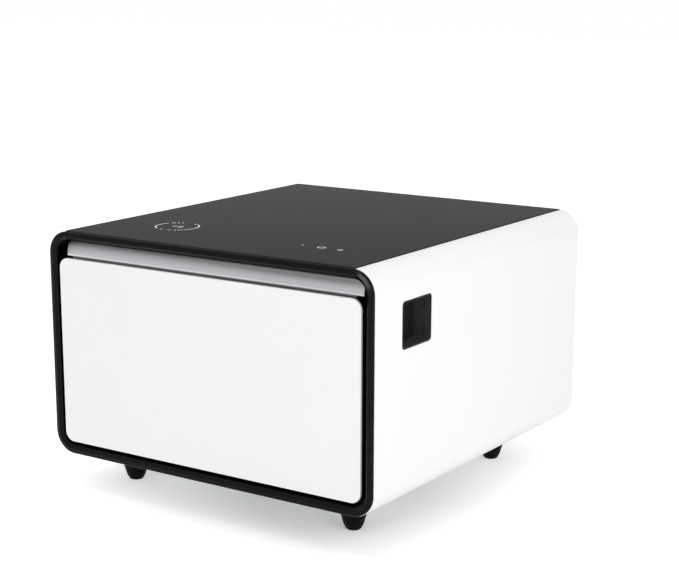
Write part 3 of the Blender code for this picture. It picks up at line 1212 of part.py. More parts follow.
def make_electric_boxes():
    """The power supply on the pan, and the control box with its board on the foam."""
    low = PAN_TOP + CLEARANCE
    supply_back = PANEL_FRONT - GLAND_BARREL_LENGTH - OVERRUN
    supply_right = HALF_WIDTH - SHELL_RADIUS + SUPPLY_INTO_CORNER
    supply = box("power_supply", supply_right - SUPPLY_LENGTH, supply_right,
                 FOAM_BACK + SUPPLY_FRONT_GAP, supply_back, low, low + SUPPLY_HEIGHT)
    finish(bevel_edges(supply, SUPPLY_CHAMFER, 1), STEEL)

    front = FOAM_BACK + CLEARANCE
    middle = BODY_BOTTOM + CONTROL_RISE
    half_x = CONTROL_WIDTH / 2
    half_z = CONTROL_HEIGHT / 2
    wall = CONTROL_WALL
    tray = box("control_box", CONTROL_X - half_x, CONTROL_X + half_x, front, front + CONTROL_DEPTH,
               middle - half_z, middle + half_z)
    add_boolean(tray, box("control_inside", CONTROL_X - half_x + wall, CONTROL_X + half_x - wall,
                          front + wall, front + CONTROL_DEPTH + OVERRUN, middle - half_z + wall,
                          middle + half_z - wall))
    peg_top = front + wall + CONTROL_PEG_HEIGHT
    for number, (sx, sz) in enumerate([(sx, sz) for sx in (-1, 1) for sz in (-1, 1)]):
        peg = cylinder("control_peg_%d" % number,
                       (CONTROL_X + sx * (half_x - CONTROL_PEG_INSET), (front + wall / 2 + peg_top) / 2,
                        middle + sz * (half_z - CONTROL_PEG_INSET)),
                       CONTROL_PEG_RADIUS, peg_top - front - wall / 2, "Y", SMALL_TURN_STEPS)
        add_boolean(tray, peg, 'UNION')
    finish(tray, GREY)
    inset = wall + CLEARANCE
    board_front = peg_top + CLEARANCE
    finish(box("control_board", CONTROL_X - half_x + inset, CONTROL_X + half_x - inset, board_front,
               board_front + BOARD_THICKNESS, middle - half_z + inset, middle + half_z - inset),
           BOARD_GREEN)


def main():
    """Model the whole table."""
    clear_scene()
    make_side_shells()
    make_front_frame()
    make_top()
    make_charger_and_touch()
    make_foam()
    make_liner()
    make_back_panel()
    make_base()
    make_outlet_recess()
    make_drawer_front()
    make_rails()
    make_bin()
    make_compressor()
    make_cooling_circuit()
    make_fan()
    make_electric_boxes()


main()
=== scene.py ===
"""Looks of the refrigerator coffee table: its finished surfaces, its materials and its studio.

Metres, +Z up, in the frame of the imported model. The drawer opens towards -Y.
"""

import json
import math

import bmesh
import bpy
import numpy as np
from bpy.props import FloatProperty, FloatVectorProperty, IntProperty, PointerProperty
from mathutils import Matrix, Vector


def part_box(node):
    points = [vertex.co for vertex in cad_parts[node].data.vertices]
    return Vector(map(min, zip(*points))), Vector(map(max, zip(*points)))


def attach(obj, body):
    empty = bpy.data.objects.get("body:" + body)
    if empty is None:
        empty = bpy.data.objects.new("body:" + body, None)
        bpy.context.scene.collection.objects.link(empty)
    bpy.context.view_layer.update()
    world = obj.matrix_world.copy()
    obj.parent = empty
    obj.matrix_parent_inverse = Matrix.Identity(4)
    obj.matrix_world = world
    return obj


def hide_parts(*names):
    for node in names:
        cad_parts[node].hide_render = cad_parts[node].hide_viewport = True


bl_info = {
    "name": "Refrigerator Coffee Table",
    "version": (1, 0, 0),
    "blender": (4, 5, 0),
    "location": "View3D > Sidebar > Table",
    "description": "Finishes a coffee table with a cooled drawer: surfaces, materials and studio",
    "category": "Add Mesh",
}

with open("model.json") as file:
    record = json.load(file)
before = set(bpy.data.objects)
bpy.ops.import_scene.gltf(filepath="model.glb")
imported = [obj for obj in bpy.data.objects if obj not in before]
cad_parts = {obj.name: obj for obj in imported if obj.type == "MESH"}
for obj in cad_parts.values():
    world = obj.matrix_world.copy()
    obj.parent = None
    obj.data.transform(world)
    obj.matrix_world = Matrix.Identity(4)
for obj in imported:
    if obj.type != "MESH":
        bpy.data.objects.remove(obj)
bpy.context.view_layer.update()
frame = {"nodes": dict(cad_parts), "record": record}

# Values that all pieces share
CLEARANCE = 0.0003
OVERRUN = 0.004
MERGE = 0.000002
CORNER_STEPS = 20
FINE_STEPS = 6
ROUND_STEPS = 72
# Edges sharper than the first stay sharp, and faces that meet flatter than the second become one
SHARP_ANGLE = math.radians(38)
FLAT_ANGLE = math.radians(0.5)
# Half the angle at a corner stays this far from 0 and from a right angle, in radians
LEAST_TURN = 0.01
BEVEL_SEGMENTS = 2
# How much the size of a face counts in its shading
FACE_WEIGHT = 60
# How far a plate's flat faces reach in before one face closes them, in rounds of its edge
FLAT_REACH = 3
# The Wave texture's period times its scale
WAVE_PERIOD = 2 * math.pi / 20

# Where the two directions of a flat outline and its depth go, by the axis of the depth
AXES = {"X": (1, 2, 0), "Y": (0, 2, 1), "Z": (0, 1, 2)}


def linear(code):
    """Linear red, green, blue and alpha of an sRGB hex value."""
    shades = [int(code[place:place + 2], 16) / 255 for place in (0, 2, 4)]
    return [s / 12.92 if s <= 0.04045 else ((s + 0.055) / 1.055) ** 2.4 for s in shades] + [1.0]


def length(name, description, default):
    """A length that a user can change."""
    return FloatProperty(name=name, description=description, default=default, min=0,
                         unit='LENGTH', precision=4)


def colour(name, description, code):
    """A colour that a user can change, given as an sRGB hex value."""
    return FloatVectorProperty(name=name, description=description, default=linear(code), size=4,
                               min=0, max=1, subtype='COLOR')


class TableSizes(bpy.types.PropertyGroup):
    """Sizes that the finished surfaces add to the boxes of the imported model."""
    shell_radius: length("Shell radius", "Round of the shells' long edges", 0.040)
    shell_wall: length("Shell wall", "Sheet of the side shells", 0.0025)
    sheet_edge: length("Sheet edge", "Round of cut and painted sheet edges", 0.0004)
    frame_radius: length("Frame radius", "Outer corner of the black frame", 0.0394)
    frame_face: length("Frame face", "Width of the frame's front face", 0.015)
    frame_depth: length("Frame depth", "Depth of the frame in front of the shells", 0.006)
    frame_band: length("Frame band", "Width of the band outside the inner slope", 0.0086)
    frame_slope: length("Frame slope", "How far the inner slope runs back to the mouth", 0.0050)
    frame_tilt: length("Frame tilt", "How far the band's outer edge lies back", 0.0017)
    frame_outer_round: length("Frame outer round", "Round of its outer front edge", 0.0030)
    frame_ridge: length("Frame ridge", "Round between the band and the slope", 0.0008)
    frame_lip: length("Frame lip", "Round where the slope meets the collar", 0.0006)
    collar_wall: length("Collar wall", "Wall of the collar behind the frame", 0.0025)
    glass_edge: length("Glass edge", "Polished round of the glass plate's edges", 0.0007)
    glass_corner: length("Glass corner", "Corner of the glass plate, seen from above", 0.0015)
    print_height: length("Print height", "Thickness of the printed marks", 0.00006)
    ring_radius: length("Ring radius", "Charging ring, to the middle of its line", 0.0380)
    ring_line: length("Ring line", "Width of the charging ring's line", 0.0028)
    ring_tick: length("Ring tick", "Length of the short marks across the ring's line", 0.0056)
    mark_line: length("Mark line", "Width of the small marks' lines", 0.0022)
    door_radius: length("Door radius", "Corner of the drawer's panel", 0.018)
    door_edge: length("Door edge", "Round of the panel's front edge", 0.0012)
    channel_radius: length("Channel radius", "Upper corners of the handle channel", 0.007)
    channel_sheet: length("Channel sheet", "Sheet of the handle channel", 0.0015)
    channel_end_gap: length("Channel end gap", "How far its ends stay inside the box", 0.0045)
    channel_lean: length("Channel lean", "How far its top lies behind its lip", 0.0045)
    channel_lip: length("Channel lip", "From the panel's top edge up to the lip", 0.0014)
    port_rise: length("Port rise", "From the recess's middle to a charging port", 0.019)
    bezel_radius: length("Bezel radius", "Outer corner of the outlet bezel", 0.0070)
    bezel_rim: length("Bezel rim", "Width of the outlet bezel's rim", 0.003)
    recess_depth: length("Recess depth", "Depth of the outlet recess", 0.032)
    vent_length: length("Vent length", "Length of a slot in the back panel", 0.060)
    vent_height: length("Vent height", "Height of a slot in the back panel", 0.0036)
    vent_pitch_x: length("Vent pitch across", "From one column of slots to the next", 0.078)
    vent_pitch_z: length("Vent pitch up", "From one row of slots to the next", 0.012)
    vent_rise: length("Vent rise", "From the body's underside to the lowest slots", 0.035)
    panel_screw: length("Panel screw", "Radius of a pan head on the back panel", 0.0034)
    foot_bore: length("Foot bore", "Radius of the screw's way in the sole", 0.007)
    bin_wall: length("Bin wall", "Wall of the drawer's bin", 0.003)
    bin_radius: length("Bin radius", "Outer corner of the bin", 0.012)
    bin_fillet: length("Bin fillet", "Round between the bin's walls and floor", 0.008)
    liner_wall: length("Liner wall", "Wall of the cold space's liner", 0.002)
    liner_fillet: length("Liner fillet", "Rounds inside the cold space", 0.006)
    gasket_width: length("Gasket width", "Width of the drawer's gasket", 0.014)
    gasket_radius: length("Gasket radius", "Inner corner of the gasket", 0.018)
    compressor_dome: length("Compressor dome", "Height of the can's domed top", 0.034)
    compressor_bowl: length("Compressor bowl", "Height of the can's round bottom", 0.024)
    can_radius: length("Can radius", "Radius of the compressor's can", 0.055)
    blade_thickness: length("Blade thickness", "Thickness of a fan blade", 0.0016)
    vent_rows: IntProperty(name="Vent rows", description="Rows of slots", default=9, min=1)
    vent_columns: IntProperty(name="Vent columns", description="Columns", default=3, min=1)
    blades: IntProperty(name="Blades", description="Blades of the fan", default=7, min=2)


class TableColours(bpy.types.PropertyGroup):
    """Colours of the materials, each written as an sRGB hex value."""
    shell: colour("Shell", "Powder coat of the shells", "FAFAFA")
    door: colour("Door", "Lacquer of the drawer's panel", "F6F6F6")
    frame: colour("Frame", "Black polish of the front frame", "0A0A0A")
    glass: colour("Glass", "Tinted glass of the top", "343435")
    ink: colour("Ink", "Printed marks on the glass", "F2F2F2")
    channel: colour("Channel", "Anodised aluminium of the channel", "A4A5A7")
    plastic: colour("Black plastic", "Grained black polypropylene", "0C0C0D")
    bezel: colour("Bezel", "Smooth dark plastic inside the outlet recess", "464647")
    bezel_deep: colour("Bezel depth", "Its near-black plastic deep in the recess", "1E1E1F")
    bezel_rim: colour("Bezel rim", "Black rim round the outlet recess", "0F0F10")
    inner: colour("Inner white", "Thermoformed white of the cold space", "EEF1F2")
    foam: colour("Foam", "Insulation foam", "E3CF9A")
    zinc: colour("Zinc", "Zinc-plated steel sheet", "B9BDC0")
    enamel: colour("Enamel", "Black enamel of the compressor", "161617")
    copper: colour("Copper", "Drawn copper tube", "D9936B")
    aluminium: colour("Aluminium", "Rolled aluminium plate", "D3D5D7")
    rubber: colour("Rubber", "Moulded rubber", "202021")
    gasket: colour("Gasket", "Soft grey gasket", "A9ACAE")
    board: colour("Board", "Solder mask of the circuit boards", "1F6B3B")
    lamp: colour("Lamp", "Opal lamp cover", "F4F4EC")
    grey_box: colour("Grey box", "Grey moulded box", "8D9093")
    floor: colour("Floor", "Pale studio floor", "FAFAFA")


def span(node):
    """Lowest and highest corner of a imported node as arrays."""
    low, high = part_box(node)
    return np.array(low), np.array(high)


def centred(node):
    """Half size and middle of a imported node, then its lowest and highest corner, as arrays."""
    low, high = span(node)
    return (high - low) / 2, (low + high) / 2, low, high


def arc(centre, radius, start, end, steps=CORNER_STEPS):
    """Points of an arc: centre plus radius times cosine and sine of the angle, in degrees."""
    angle = np.radians(np.linspace(start, end, steps + 1))
    return np.asarray(centre) + radius * np.stack((np.cos(angle), np.sin(angle)), -1)


def softened(points, radii, steps=FINE_STEPS):
    """Round the corners of a line of points, each by its own radius.

    An arc's centre lies radius / sin(t) from the corner along the bisector of its two sides, where
    t is half the angle between them, and the arc is swept between its two points of contact.
    """
    points = np.asarray(points, float)
    radii = np.asarray(radii, float)[:, None]
    before = np.roll(points, 1, 0) - points
    after = np.roll(points, -1, 0) - points
    before /= np.maximum(np.linalg.norm(before, axis=1, keepdims=True), MERGE)
    after /= np.maximum(np.linalg.norm(after, axis=1, keepdims=True), MERGE)
    half = np.arccos(np.clip((before * after).sum(1, keepdims=True), -1, 1)) / 2
    half = np.clip(half, LEAST_TURN, math.pi / 2 - LEAST_TURN)
    middle = before + after
    middle /= np.maximum(np.linalg.norm(middle, axis=1, keepdims=True), MERGE)
    centre = points + middle * radii / np.sin(half)
    first = points + before * radii / np.tan(half) - centre
    last = points + after * radii / np.tan(half) - centre
    sweep = (math.pi - 2 * half)[:, :, None]
    share = np.linspace(0, 1, steps + 1)[None, :, None]
    spoke = (np.sin((1 - share) * sweep) * first[:, None]
             + np.sin(share * sweep) * last[:, None]) / np.sin(sweep)
    keep = (np.arange(steps + 1)[None, :] == 0) | (radii > 0)
    return (centre[:, None] + spoke)[keep]


def rounded_loops(half_a, half_b, radius, steps=CORNER_STEPS):
    """Rounded rectangles about the origin, one for each row of sizes.

    Each corner is a quarter circle about a point that lies one radius inside both sides.
    """
    sizes = np.broadcast_arrays(*np.atleast_1d(half_a, half_b, radius))
    half_a, half_b, radius = (np.asarray(size, float)[:, None] for size in sizes)
    quarter = np.linspace(0, math.pi / 2, steps + 1)
    angle = (np.arange(4)[:, None] * math.pi / 2 + quarter).ravel()
    side_a = np.repeat((1, -1, -1, 1), steps + 1)
    side_b = np.repeat((1, 1, -1, -1), steps + 1)
    a = side_a * (half_a - radius) + radius * np.cos(angle)
    b = side_b * (half_b - radius) + radius * np.sin(angle)
    return np.stack((a, b), -1)


def placed(loops, depth, axis, centre=(0, 0)):
    """Turn rows of flat points into rows of points in space, at one depth along an axis each."""
    loops = np.asarray(loops, float)
    out = np.empty(loops.shape[:-1] + (3,))
    to_a, to_b, to_depth = AXES[axis]
    out[..., to_a] = loops[..., 0] + centre[0]
    out[..., to_b] = loops[..., 1] + centre[1]
    out[..., to_depth] = np.asarray(depth, float)[:, None]
    return out


def grid_faces(rows, columns, wrap_rows):
    """Faces of a grid of closed rows: a cell joins (r, c), (r, c+1), (r+1, c+1) and (r+1, c)."""
    row = np.arange(rows if wrap_rows else rows - 1)[:, None]
    column = np.arange(columns)[None, :]
    next_row = (row + 1) % rows
    next_column = (column + 1) % columns
    corners = (row * columns + column, row * columns + next_column,
               next_row * columns + next_column, next_row * columns + column)
    return np.stack(np.broadcast_arrays(*corners), -1).reshape(-1, 4).tolist()


def linked(name, data):
    """A new object of a mesh, light or camera, in the scene."""
    item = bpy.data.objects.new(name, data)
    bpy.context.scene.collection.objects.link(item)
    return item


def solid(name, grids):
    """A closed piece from grids of points, its doubles merged and its faces turned outwards.

    A grid is rows of closed loops. Its first and last row are capped, unless the rows close too.
    """
    vertices = []
    joined = []
    start = 0
    for points, wrap_rows in grids:
        rows, columns = points.shape[:2]
        cells = grid_faces(rows, columns, wrap_rows)
        if not wrap_rows:
            cells += [list(range(columns)), list(range((rows - 1) * columns, rows * columns))]
        joined += [[start + index for index in cell] for cell in cells]
        vertices.append(points.reshape(-1, 3))
        start += rows * columns
    mesh = bpy.data.meshes.new(name)
    mesh.from_pydata(np.concatenate(vertices).tolist(), [], joined)
    return shaded(name, mesh)


def shaded(name, mesh, dissolve=False):
    """Make an object of a mesh: merged, faces outwards, smooth but for its sharp edges."""
    body = bmesh.new()
    body.from_mesh(mesh)
    bmesh.ops.remove_doubles(body, verts=body.verts, dist=MERGE)
    bmesh.ops.dissolve_degenerate(body, edges=body.edges, dist=MERGE / 2)
    if dissolve:
        bmesh.ops.dissolve_limit(body, angle_limit=FLAT_ANGLE, verts=body.verts, edges=body.edges)
    bmesh.ops.recalc_face_normals(body, faces=body.faces)
    clean = bpy.data.meshes.new(name)
    body.to_mesh(clean)
    body.free()
    for layer in ("custom_normal", "material_index"):
        if layer in clean.attributes:
            clean.attributes.remove(clean.attributes[layer])
    clean.shade_smooth()
    clean.set_sharp_from_angle(angle=SHARP_ANGLE)
    bpy.data.meshes.remove(mesh)
    return linked(name, clean)


def swept(name, node, axis, line, radius, least=0.0, ring=False, steps=CORNER_STEPS):
    """Carry a profile of (inset, depth) points round a node's box, seen along an axis.

    At each point the outline is the box's rounded rectangle, drawn in by the inset on all sides,
    its corner radius too. A ring's profile closes on itself.
    """
    half, middle = centred(node)[:2]
    flat = AXES[axis][:2]
    inset, depth = line.T
    half_a, half_b = (half[way] - inset for way in flat)
    loops = rounded_loops(half_a, half_b, np.maximum(radius - inset, least), steps)
    return solid(name, [(placed(loops, depth, axis, middle[list(flat)]), ring)])


def straight(low, high, inset=0.0):
    """Profile of a straight wall between two depths."""
    return np.array(((inset, low), (inset, high)))


def prism_rows(outline, axis, low, high):
    """Rows of a straight prism: the same flat outline at two depths."""
    return placed(np.broadcast_to(outline, (2,) + np.shape(outline)), (low, high), axis)


def prism(name, outline, axis, low, high):
    """A straight prism."""
    return solid(name, [(prism_rows(outline, axis, low, high), False)])


def block(name, low, high):
    """A box between two corners, used to cut."""
    corners = ((low[0], low[1]), (high[0], low[1]), (high[0], high[1]), (low[0], high[1]))
    return prism(name, corners, "Z", low[2], high[2])


def turned_rows(profile, centre, axis):
    """Rows of a turned shape: each profile point (radius, height) runs round the axis."""
    profile = np.asarray(profile, float)
    angle = np.linspace(0, 2 * math.pi, ROUND_STEPS, endpoint=False)
    circle = np.stack((np.cos(angle), np.sin(angle)), -1)
    to_a, to_b, to_depth = AXES[axis]
    return placed(profile[:, :1, None] * circle, profile[:, 1] + centre[to_depth], axis,
                  (centre[to_a], centre[to_b]))


def turned(name, profile, centre, axis="Z", ring=False):
    """A turned piece. A ring's profile closes on itself, another starts and ends on the axis."""
    return solid(name, [(turned_rows(profile, centre, axis), ring)])


def cut(piece, cutters):
    """Cut closed bodies out of a piece, and keep the plain result."""
    for cutter in cutters:
        step = piece.modifiers.new("cut", 'BOOLEAN')
        step.solver = 'EXACT'
        step.object = cutter
    bpy.context.view_layer.update()
    evaluated = piece.evaluated_get(bpy.context.evaluated_depsgraph_get())
    mesh = bpy.data.meshes.new_from_object(evaluated)
    name = piece.name
    for used in (piece, *cutters):
        bpy.data.objects.remove(used, do_unlink=True)
    return shaded(name, mesh)


def body_of(node):
    """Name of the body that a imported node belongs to."""
    bodies = frame["record"]["behaviour"]["bodies"]
    return next(body for body, nodes in bodies.items() if node in nodes)


def slot_of(node):
    """Name of the material slot that the record gives to a node."""
    return next(part["material_slot"] for part in frame["record"]["subparts"]
                if part["node"] == node)


def finished(piece, *nodes, edge=0.0, material=None, body=None, slot=None):
    """Give a piece its round edges, the material of its slot and its body, and hide the nodes it
    stands for.
    """
    if edge:
        bevel = piece.modifiers.new("round edges", 'BEVEL')
        bevel.width = edge
        bevel.segments = BEVEL_SEGMENTS
        bevel.limit_method = 'ANGLE'
        bevel.angle_limit = SHARP_ANGLE
        bevel.use_clamp_overlap = True
    even = piece.modifiers.new("even shading", 'WEIGHTED_NORMAL')
    even.keep_sharp = True
    even.weight = FACE_WEIGHT
    slot = slot or slot_of(nodes[0])
    piece.data.materials.clear()
    piece.data.materials.append(material or finish_of(slot))
    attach(piece, body or body_of(nodes[0]))
    if nodes:
        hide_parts(*nodes)


def soften(edge, *nodes, material=None):
    """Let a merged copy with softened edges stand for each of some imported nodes."""
    for node in nodes:
        piece = shaded(node + "_finished", frame["nodes"][node].data.copy(), dissolve=True)
        finished(piece, node, edge=edge, material=material)


def add(tree, kind, settings=None, links=None):
    """Add a node, set its properties and input values, and link its inputs."""
    node = tree.nodes.new("ShaderNode" + kind)
    for key, value in (settings or {}).items():
        if isinstance(key, int) or key in node.inputs:
            node.inputs[key].default_value = value
        else:
            setattr(node, key, value)
    join(tree, node, links or {})
    return node


def join(tree, node, links):
    """Link the inputs of a node, each to a socket or to a node's first output."""
    for key, source in links.items():
        tree.links.new(getattr(source, "outputs", [source])[0], node.inputs[key])


def per_metre(millimetres):
    """How often a pattern of a size in millimetres repeats in a metre."""
    return 1000 / millimetres


def shade(colour_value, factor):
    """A colour that is darker, or lighter, by a factor."""
    return [min(1.0, channel * factor) for channel in colour_value[:3]] + [1.0]


def surface(name, colour_value, roughness, constants=None):
    """Start a material: the material with its shader's constants, its tree, and the place."""
    material = bpy.data.materials.new(name)
    material.use_nodes = True
    tree = material.node_tree
    inputs = tree.nodes["Principled BSDF"].inputs
    for key, value in {"Base Color": colour_value, "Roughness": roughness,
                       **(constants or {})}.items():
        inputs[key].default_value = value
    return material, tree, add(tree, "TexCoord").outputs["Object"]


def patterned(material, lift=None, gloss=None, tone=None):
    """Link patterns to a material's shader, each given with two values of its own.

    A lift is relief, by its strength and its depth in metres. A gloss is a range of roughness. A
    tone changes the base colour by the factors at the pattern's 0 and 1, or is a colour socket.
    """
    tree = material.node_tree
    shader = tree.nodes["Principled BSDF"]
    if lift:
        relief = add(tree, "Bump", {"Strength": lift[1], "Distance": lift[2]}, {"Height": lift[0]})
        join(tree, shader, {"Normal": relief})
    if gloss:
        polish = add(tree, "MapRange", {"To Min": gloss[1], "To Max": gloss[2]},
                     {"Value": gloss[0]})
        join(tree, shader, {"Roughness": polish})
    if isinstance(tone, tuple):
        base = shader.inputs["Base Color"].default_value
        tone = add(tree, "Mix", {"data_type": 'RGBA', 6: shade(base, tone[1]),
                                 7: shade(base, tone[2])}, {0: tone[0]}).outputs[2]
    if tone is not None:
        join(tree, shader, {"Base Color": tone})
    return material


def powder_coated_steel(colours):
    """Powder-coated steel sheet: even white with the faint orange peel of baked powder."""
    material, tree, place = surface("powder_coated_steel", colours.shell, 0.38,
                                    {"IOR": 1.5, "Specular IOR Level": 0.35})
    peel = add(tree, "TexNoise", {"Scale": per_metre(1.4), "Detail": 2.0}, {"Vector": place})
    cloud = add(tree, "TexNoise", {"Scale": per_metre(90), "Detail": 3.0}, {"Vector": place})
    return patterned(material, lift=(peel, 0.30, 0.00004), gloss=(peel, 0.34, 0.42),
                     tone=(cloud, 1, 0.985))


def lacquered_panel(colours):
    """Lacquered metal panel: smooth white under a clear coat, with a very slight flow."""
    material, tree, place = surface(
        "lacquered_panel", colours.door, 0.30,
        {"Specular IOR Level": 0.30, "Coat Weight": 0.25, "Coat Roughness": 0.12})
    flow = add(tree, "TexNoise", {"Scale": per_metre(9), "Detail": 1.0}, {"Vector": place})
    cloud = add(tree, "TexNoise", {"Scale": per_metre(140), "Detail": 2.0}, {"Vector": place})
    return patterned(material, lift=(flow, 0.12, 0.00006), gloss=(flow, 0.27, 0.33),
                     tone=(cloud, 1, 0.985))


def polished_abs(colours):
    """High-gloss black ABS moulding: deep black, mirror-like, with the mould's faint flow."""
    material, tree, place = surface("polished_abs", colours.frame, 0.14, {"IOR": 1.19})
    flow = add(tree, "TexNoise", {"Scale": per_metre(26), "Detail": 1.0}, {"Vector": place})
    dust = add(tree, "TexNoise", {"Scale": per_metre(1.1), "Detail": 3.0}, {"Vector": place})
    specks = add(tree, "MapRange", {"From Min": 0.35, "From Max": 0.7}, {"Value": dust})
    return patterned(material, lift=(flow, 0.10, 0.0001), gloss=(specks, 0.11, 0.19),
                     tone=(flow, 1, 0.7))


def tinted_glass(colours):
    """Tempered glass with a dark back print: an even dark grey under a faint sheen.

    The index is below that of plain glass, because the photographed top mirrors little.
    """
    material, tree, place = surface("tinted_glass", colours.glass, 0.12, {"IOR": 1.02})
    rolled = add(tree, "TexNoise", {"Scale": per_metre(160), "Detail": 1.5}, {"Vector": place})
    wipe = add(tree, "TexNoise", {"Scale": per_metre(3), "Detail": 4.0}, {"Vector": place})
    return patterned(material, lift=(rolled, 0.04, 0.0001), gloss=(wipe, 0.09, 0.15),
                     tone=(rolled, 1.03, 0.93))


def screen_ink(colours):
    """Screen-printed ink: matt pale lines with the slight mottle of the mesh."""
    material, tree, place = surface("screen_ink", colours.ink, 0.55)
    mottle = add(tree, "TexNoise", {"Scale": per_metre(0.6), "Detail": 2.0}, {"Vector": place})
    return patterned(material, tone=(mottle, 1, 0.82))


# Painted light on the channel, by the share of its height above the panel: two shares, and the
# factor of the colour at each. They are painted shade under the frame, a painted highlight along
# the lip, and painted shade in a dark line along the panel.
CHANNEL_PAINTED_LIGHT = ((0.11, 0.75, 0.97, 0.56), (0.11, 0.21, 1.80, 1.0), (0.06, 0.10, 0.30, 1.0))
# Painted shade along its length, darker towards its right end, as shares of its half length
CHANNEL_END_PAINTED_SHADE = (-0.90, 0.68, 1.0, 0.70)


def brushed_anodised_aluminium(colours):
    """Brushed and anodised aluminium: silky silver with fine lines along its length.

    Real brush lines are under 0.1 mm. They are drawn 0.5 mm apart so that they show. Painted shade
    darkens the strip towards its top under the frame, in a line along the panel and towards its
    right end, and a painted highlight brightens it along the lip.
    """
    material, tree, place = surface("brushed_anodised_aluminium", colours.channel, 0.46,
                                    {"Metallic": 1.0, "Anisotropic": 0.35})
    along = add(tree, "Mapping", {"Scale": (per_metre(60), per_metre(0.5), per_metre(0.5))},
                {"Vector": place})
    lines = add(tree, "TexNoise", {"Scale": 1.0, "Detail": 4.0}, {"Vector": along})
    tone = add(tree, "Mix", {"data_type": 'RGBA', 6: shade(colours.channel, 1.25),
                             7: shade(colours.channel, 1.10)}, {0: lines}).outputs[2]
    axes = add(tree, "SeparateXYZ", None, {0: place})
    high = span("handle_channel")[1]
    rise = add(tree, "MapRange", {"From Min": span("door_panel")[1][2], "From Max": high[2]},
               {"Value": axes.outputs["Z"]})
    aside = add(tree, "Math", {"operation": 'DIVIDE', 1: high[0]}, {0: axes.outputs["X"]})
    keys = ("From Min", "From Max", "To Min", "To Max")
    # Painted light: each factor darkens or brightens the brush lines' tone, as painted shade or a
    # painted highlight
    for share, tones in [(rise, tones) for tones in CHANNEL_PAINTED_LIGHT] + [(aside, CHANNEL_END_PAINTED_SHADE)]:
        part = add(tree, "MapRange", dict(zip(keys, tones)), {"Value": share})
        tone = add(tree, "VectorMath", {"operation": 'SCALE'}, {0: tone, "Scale": part}).outputs[0]
    return patterned(material, lift=(lines, 0.15, 0.00002), gloss=(lines, 0.40, 0.52), tone=tone)


def grained_polypropylene(colours):
    """Moulded black polypropylene: matt black with a fine spark-eroded grain of 0.7 mm."""
    material, tree, place = surface("grained_polypropylene", colours.plastic, 0.46,
                                    {"IOR": 1.49, "Specular IOR Level": 0.06})
    grain = add(tree, "TexVoronoi", {"Scale": per_metre(0.7)}, {"Vector": place})
    return patterned(material, lift=(grain, 0.30, 0.00005), gloss=(grain, 0.40, 0.56),
                     tone=(grain, 1.2, 0.8))


def gap_plastic_painted_shade(colours):
    """Black plastic behind the panel's gap: a darker copy of the black plastic, very matt, so that
    the gap reads as a dark line of painted shade.
    """
    material, tree, place = surface("gap_plastic_painted_shade", shade(colours.plastic, 0.3), 0.75,
                                    {"Specular IOR Level": 0.05})
    grain = add(tree, "TexVoronoi", {"Scale": per_metre(0.7)}, {"Vector": place})
    return patterned(material, lift=(grain, 0.2, 0.00004))


# How far behind the face the black of the outlet's rim fades into the grey inside
RIM_FADE = 0.0010


def outlet_polycarbonate(colours, depth):
    """Smooth polycarbonate of the outlet recess: dark grey sides, black rim, near-black depth."""
    material, tree, place = surface("outlet_polycarbonate", colours.bezel, 0.34,
                                    {"Specular IOR Level": 0.15})
    flow = add(tree, "TexNoise", {"Scale": per_metre(2), "Detail": 2.0}, {"Vector": place})
    across = add(tree, "SeparateXYZ", None, {0: place}).outputs["X"]
    face_x = span("outlet_bezel")[1][0]
    links = {}
    for start, last in ((RIM_FADE - depth, colours.bezel), (-RIM_FADE * 2, colours.bezel_rim)):
        links[0] = add(tree, "MapRange", {"From Min": face_x + start,
                                          "From Max": face_x + start + RIM_FADE},
                       {"Value": across})
        tone = add(tree, "Mix", {"data_type": 'RGBA', 6: colours.bezel_deep, 7: last},
                   links).outputs[2]
        links[6] = tone
    return patterned(material, lift=(flow, 0.1, 0.00004), gloss=(flow, 0.30, 0.40), tone=tone)


def thermoformed_polystyrene(colours):
    """Thermoformed polystyrene sheet: clean cool white, satin, slightly wavy from drawing."""
    material, tree, place = surface(
        "thermoformed_polystyrene", colours.inner, 0.40,
        {"IOR": 1.59, "Specular IOR Level": 0.30, "Subsurface Weight": 0.08,
         "Subsurface Scale": 0.002})
    wave = add(tree, "TexNoise", {"Scale": per_metre(35), "Detail": 1.0}, {"Vector": place})
    return patterned(material, lift=(wave, 0.15, 0.0003), gloss=(wave, 0.34, 0.46))


def polyurethane_foam(colours):
    """Rigid polyurethane foam: cream, matt, with closed cells of about 1 mm."""
    material, tree, place = surface("polyurethane_foam", colours.foam, 0.92,
                                    {"Specular IOR Level": 0.1})
    cells = add(tree, "TexVoronoi", {"Scale": per_metre(1.2)}, {"Vector": place})
    cloud = add(tree, "TexNoise", {"Scale": per_metre(45), "Detail": 3.0}, {"Vector": place})
    return patterned(material, lift=(cells, 0.6, 0.0003), tone=(cloud, 1.05, 0.82))


def zinc_plated_steel(colours):
    """Zinc-plated steel sheet: cool grey metal with a soft cloud of crystals."""
    material, tree, place = surface("zinc_plated_steel", colours.zinc, 0.38, {"Metallic": 1.0})
    crystals = add(tree, "TexVoronoi", {"Scale": per_metre(7)}, {"Vector": place})
    cloud = add(tree, "TexNoise", {"Scale": per_metre(18), "Detail": 3.0}, {"Vector": place})
    return patterned(material, gloss=(cloud, 0.30, 0.50), tone=(crystals, 1.08, 0.86))


def stoved_enamel(colours):
    """Stoved black enamel on steel: even satin black with a light orange peel."""
    material, tree, place = surface("stoved_enamel", colours.enamel, 0.32,
                                    {"IOR": 1.5, "Specular IOR Level": 0.35})
    peel = add(tree, "TexNoise", {"Scale": per_metre(2.4), "Detail": 2.0}, {"Vector": place})
    return patterned(material, lift=(peel, 0.35, 0.00008), gloss=(peel, 0.26, 0.40))


def drawn_copper(colours):
    """Drawn copper tube: warm metal with patches that have dulled in the air."""
    material, tree, place = surface("drawn_copper", colours.copper, 0.30, {"Metallic": 1.0})
    dull = add(tree, "TexNoise", {"Scale": per_metre(14), "Detail": 4.0}, {"Vector": place})
    return patterned(material, gloss=(dull, 0.22, 0.46), tone=(dull, 1, 0.62))


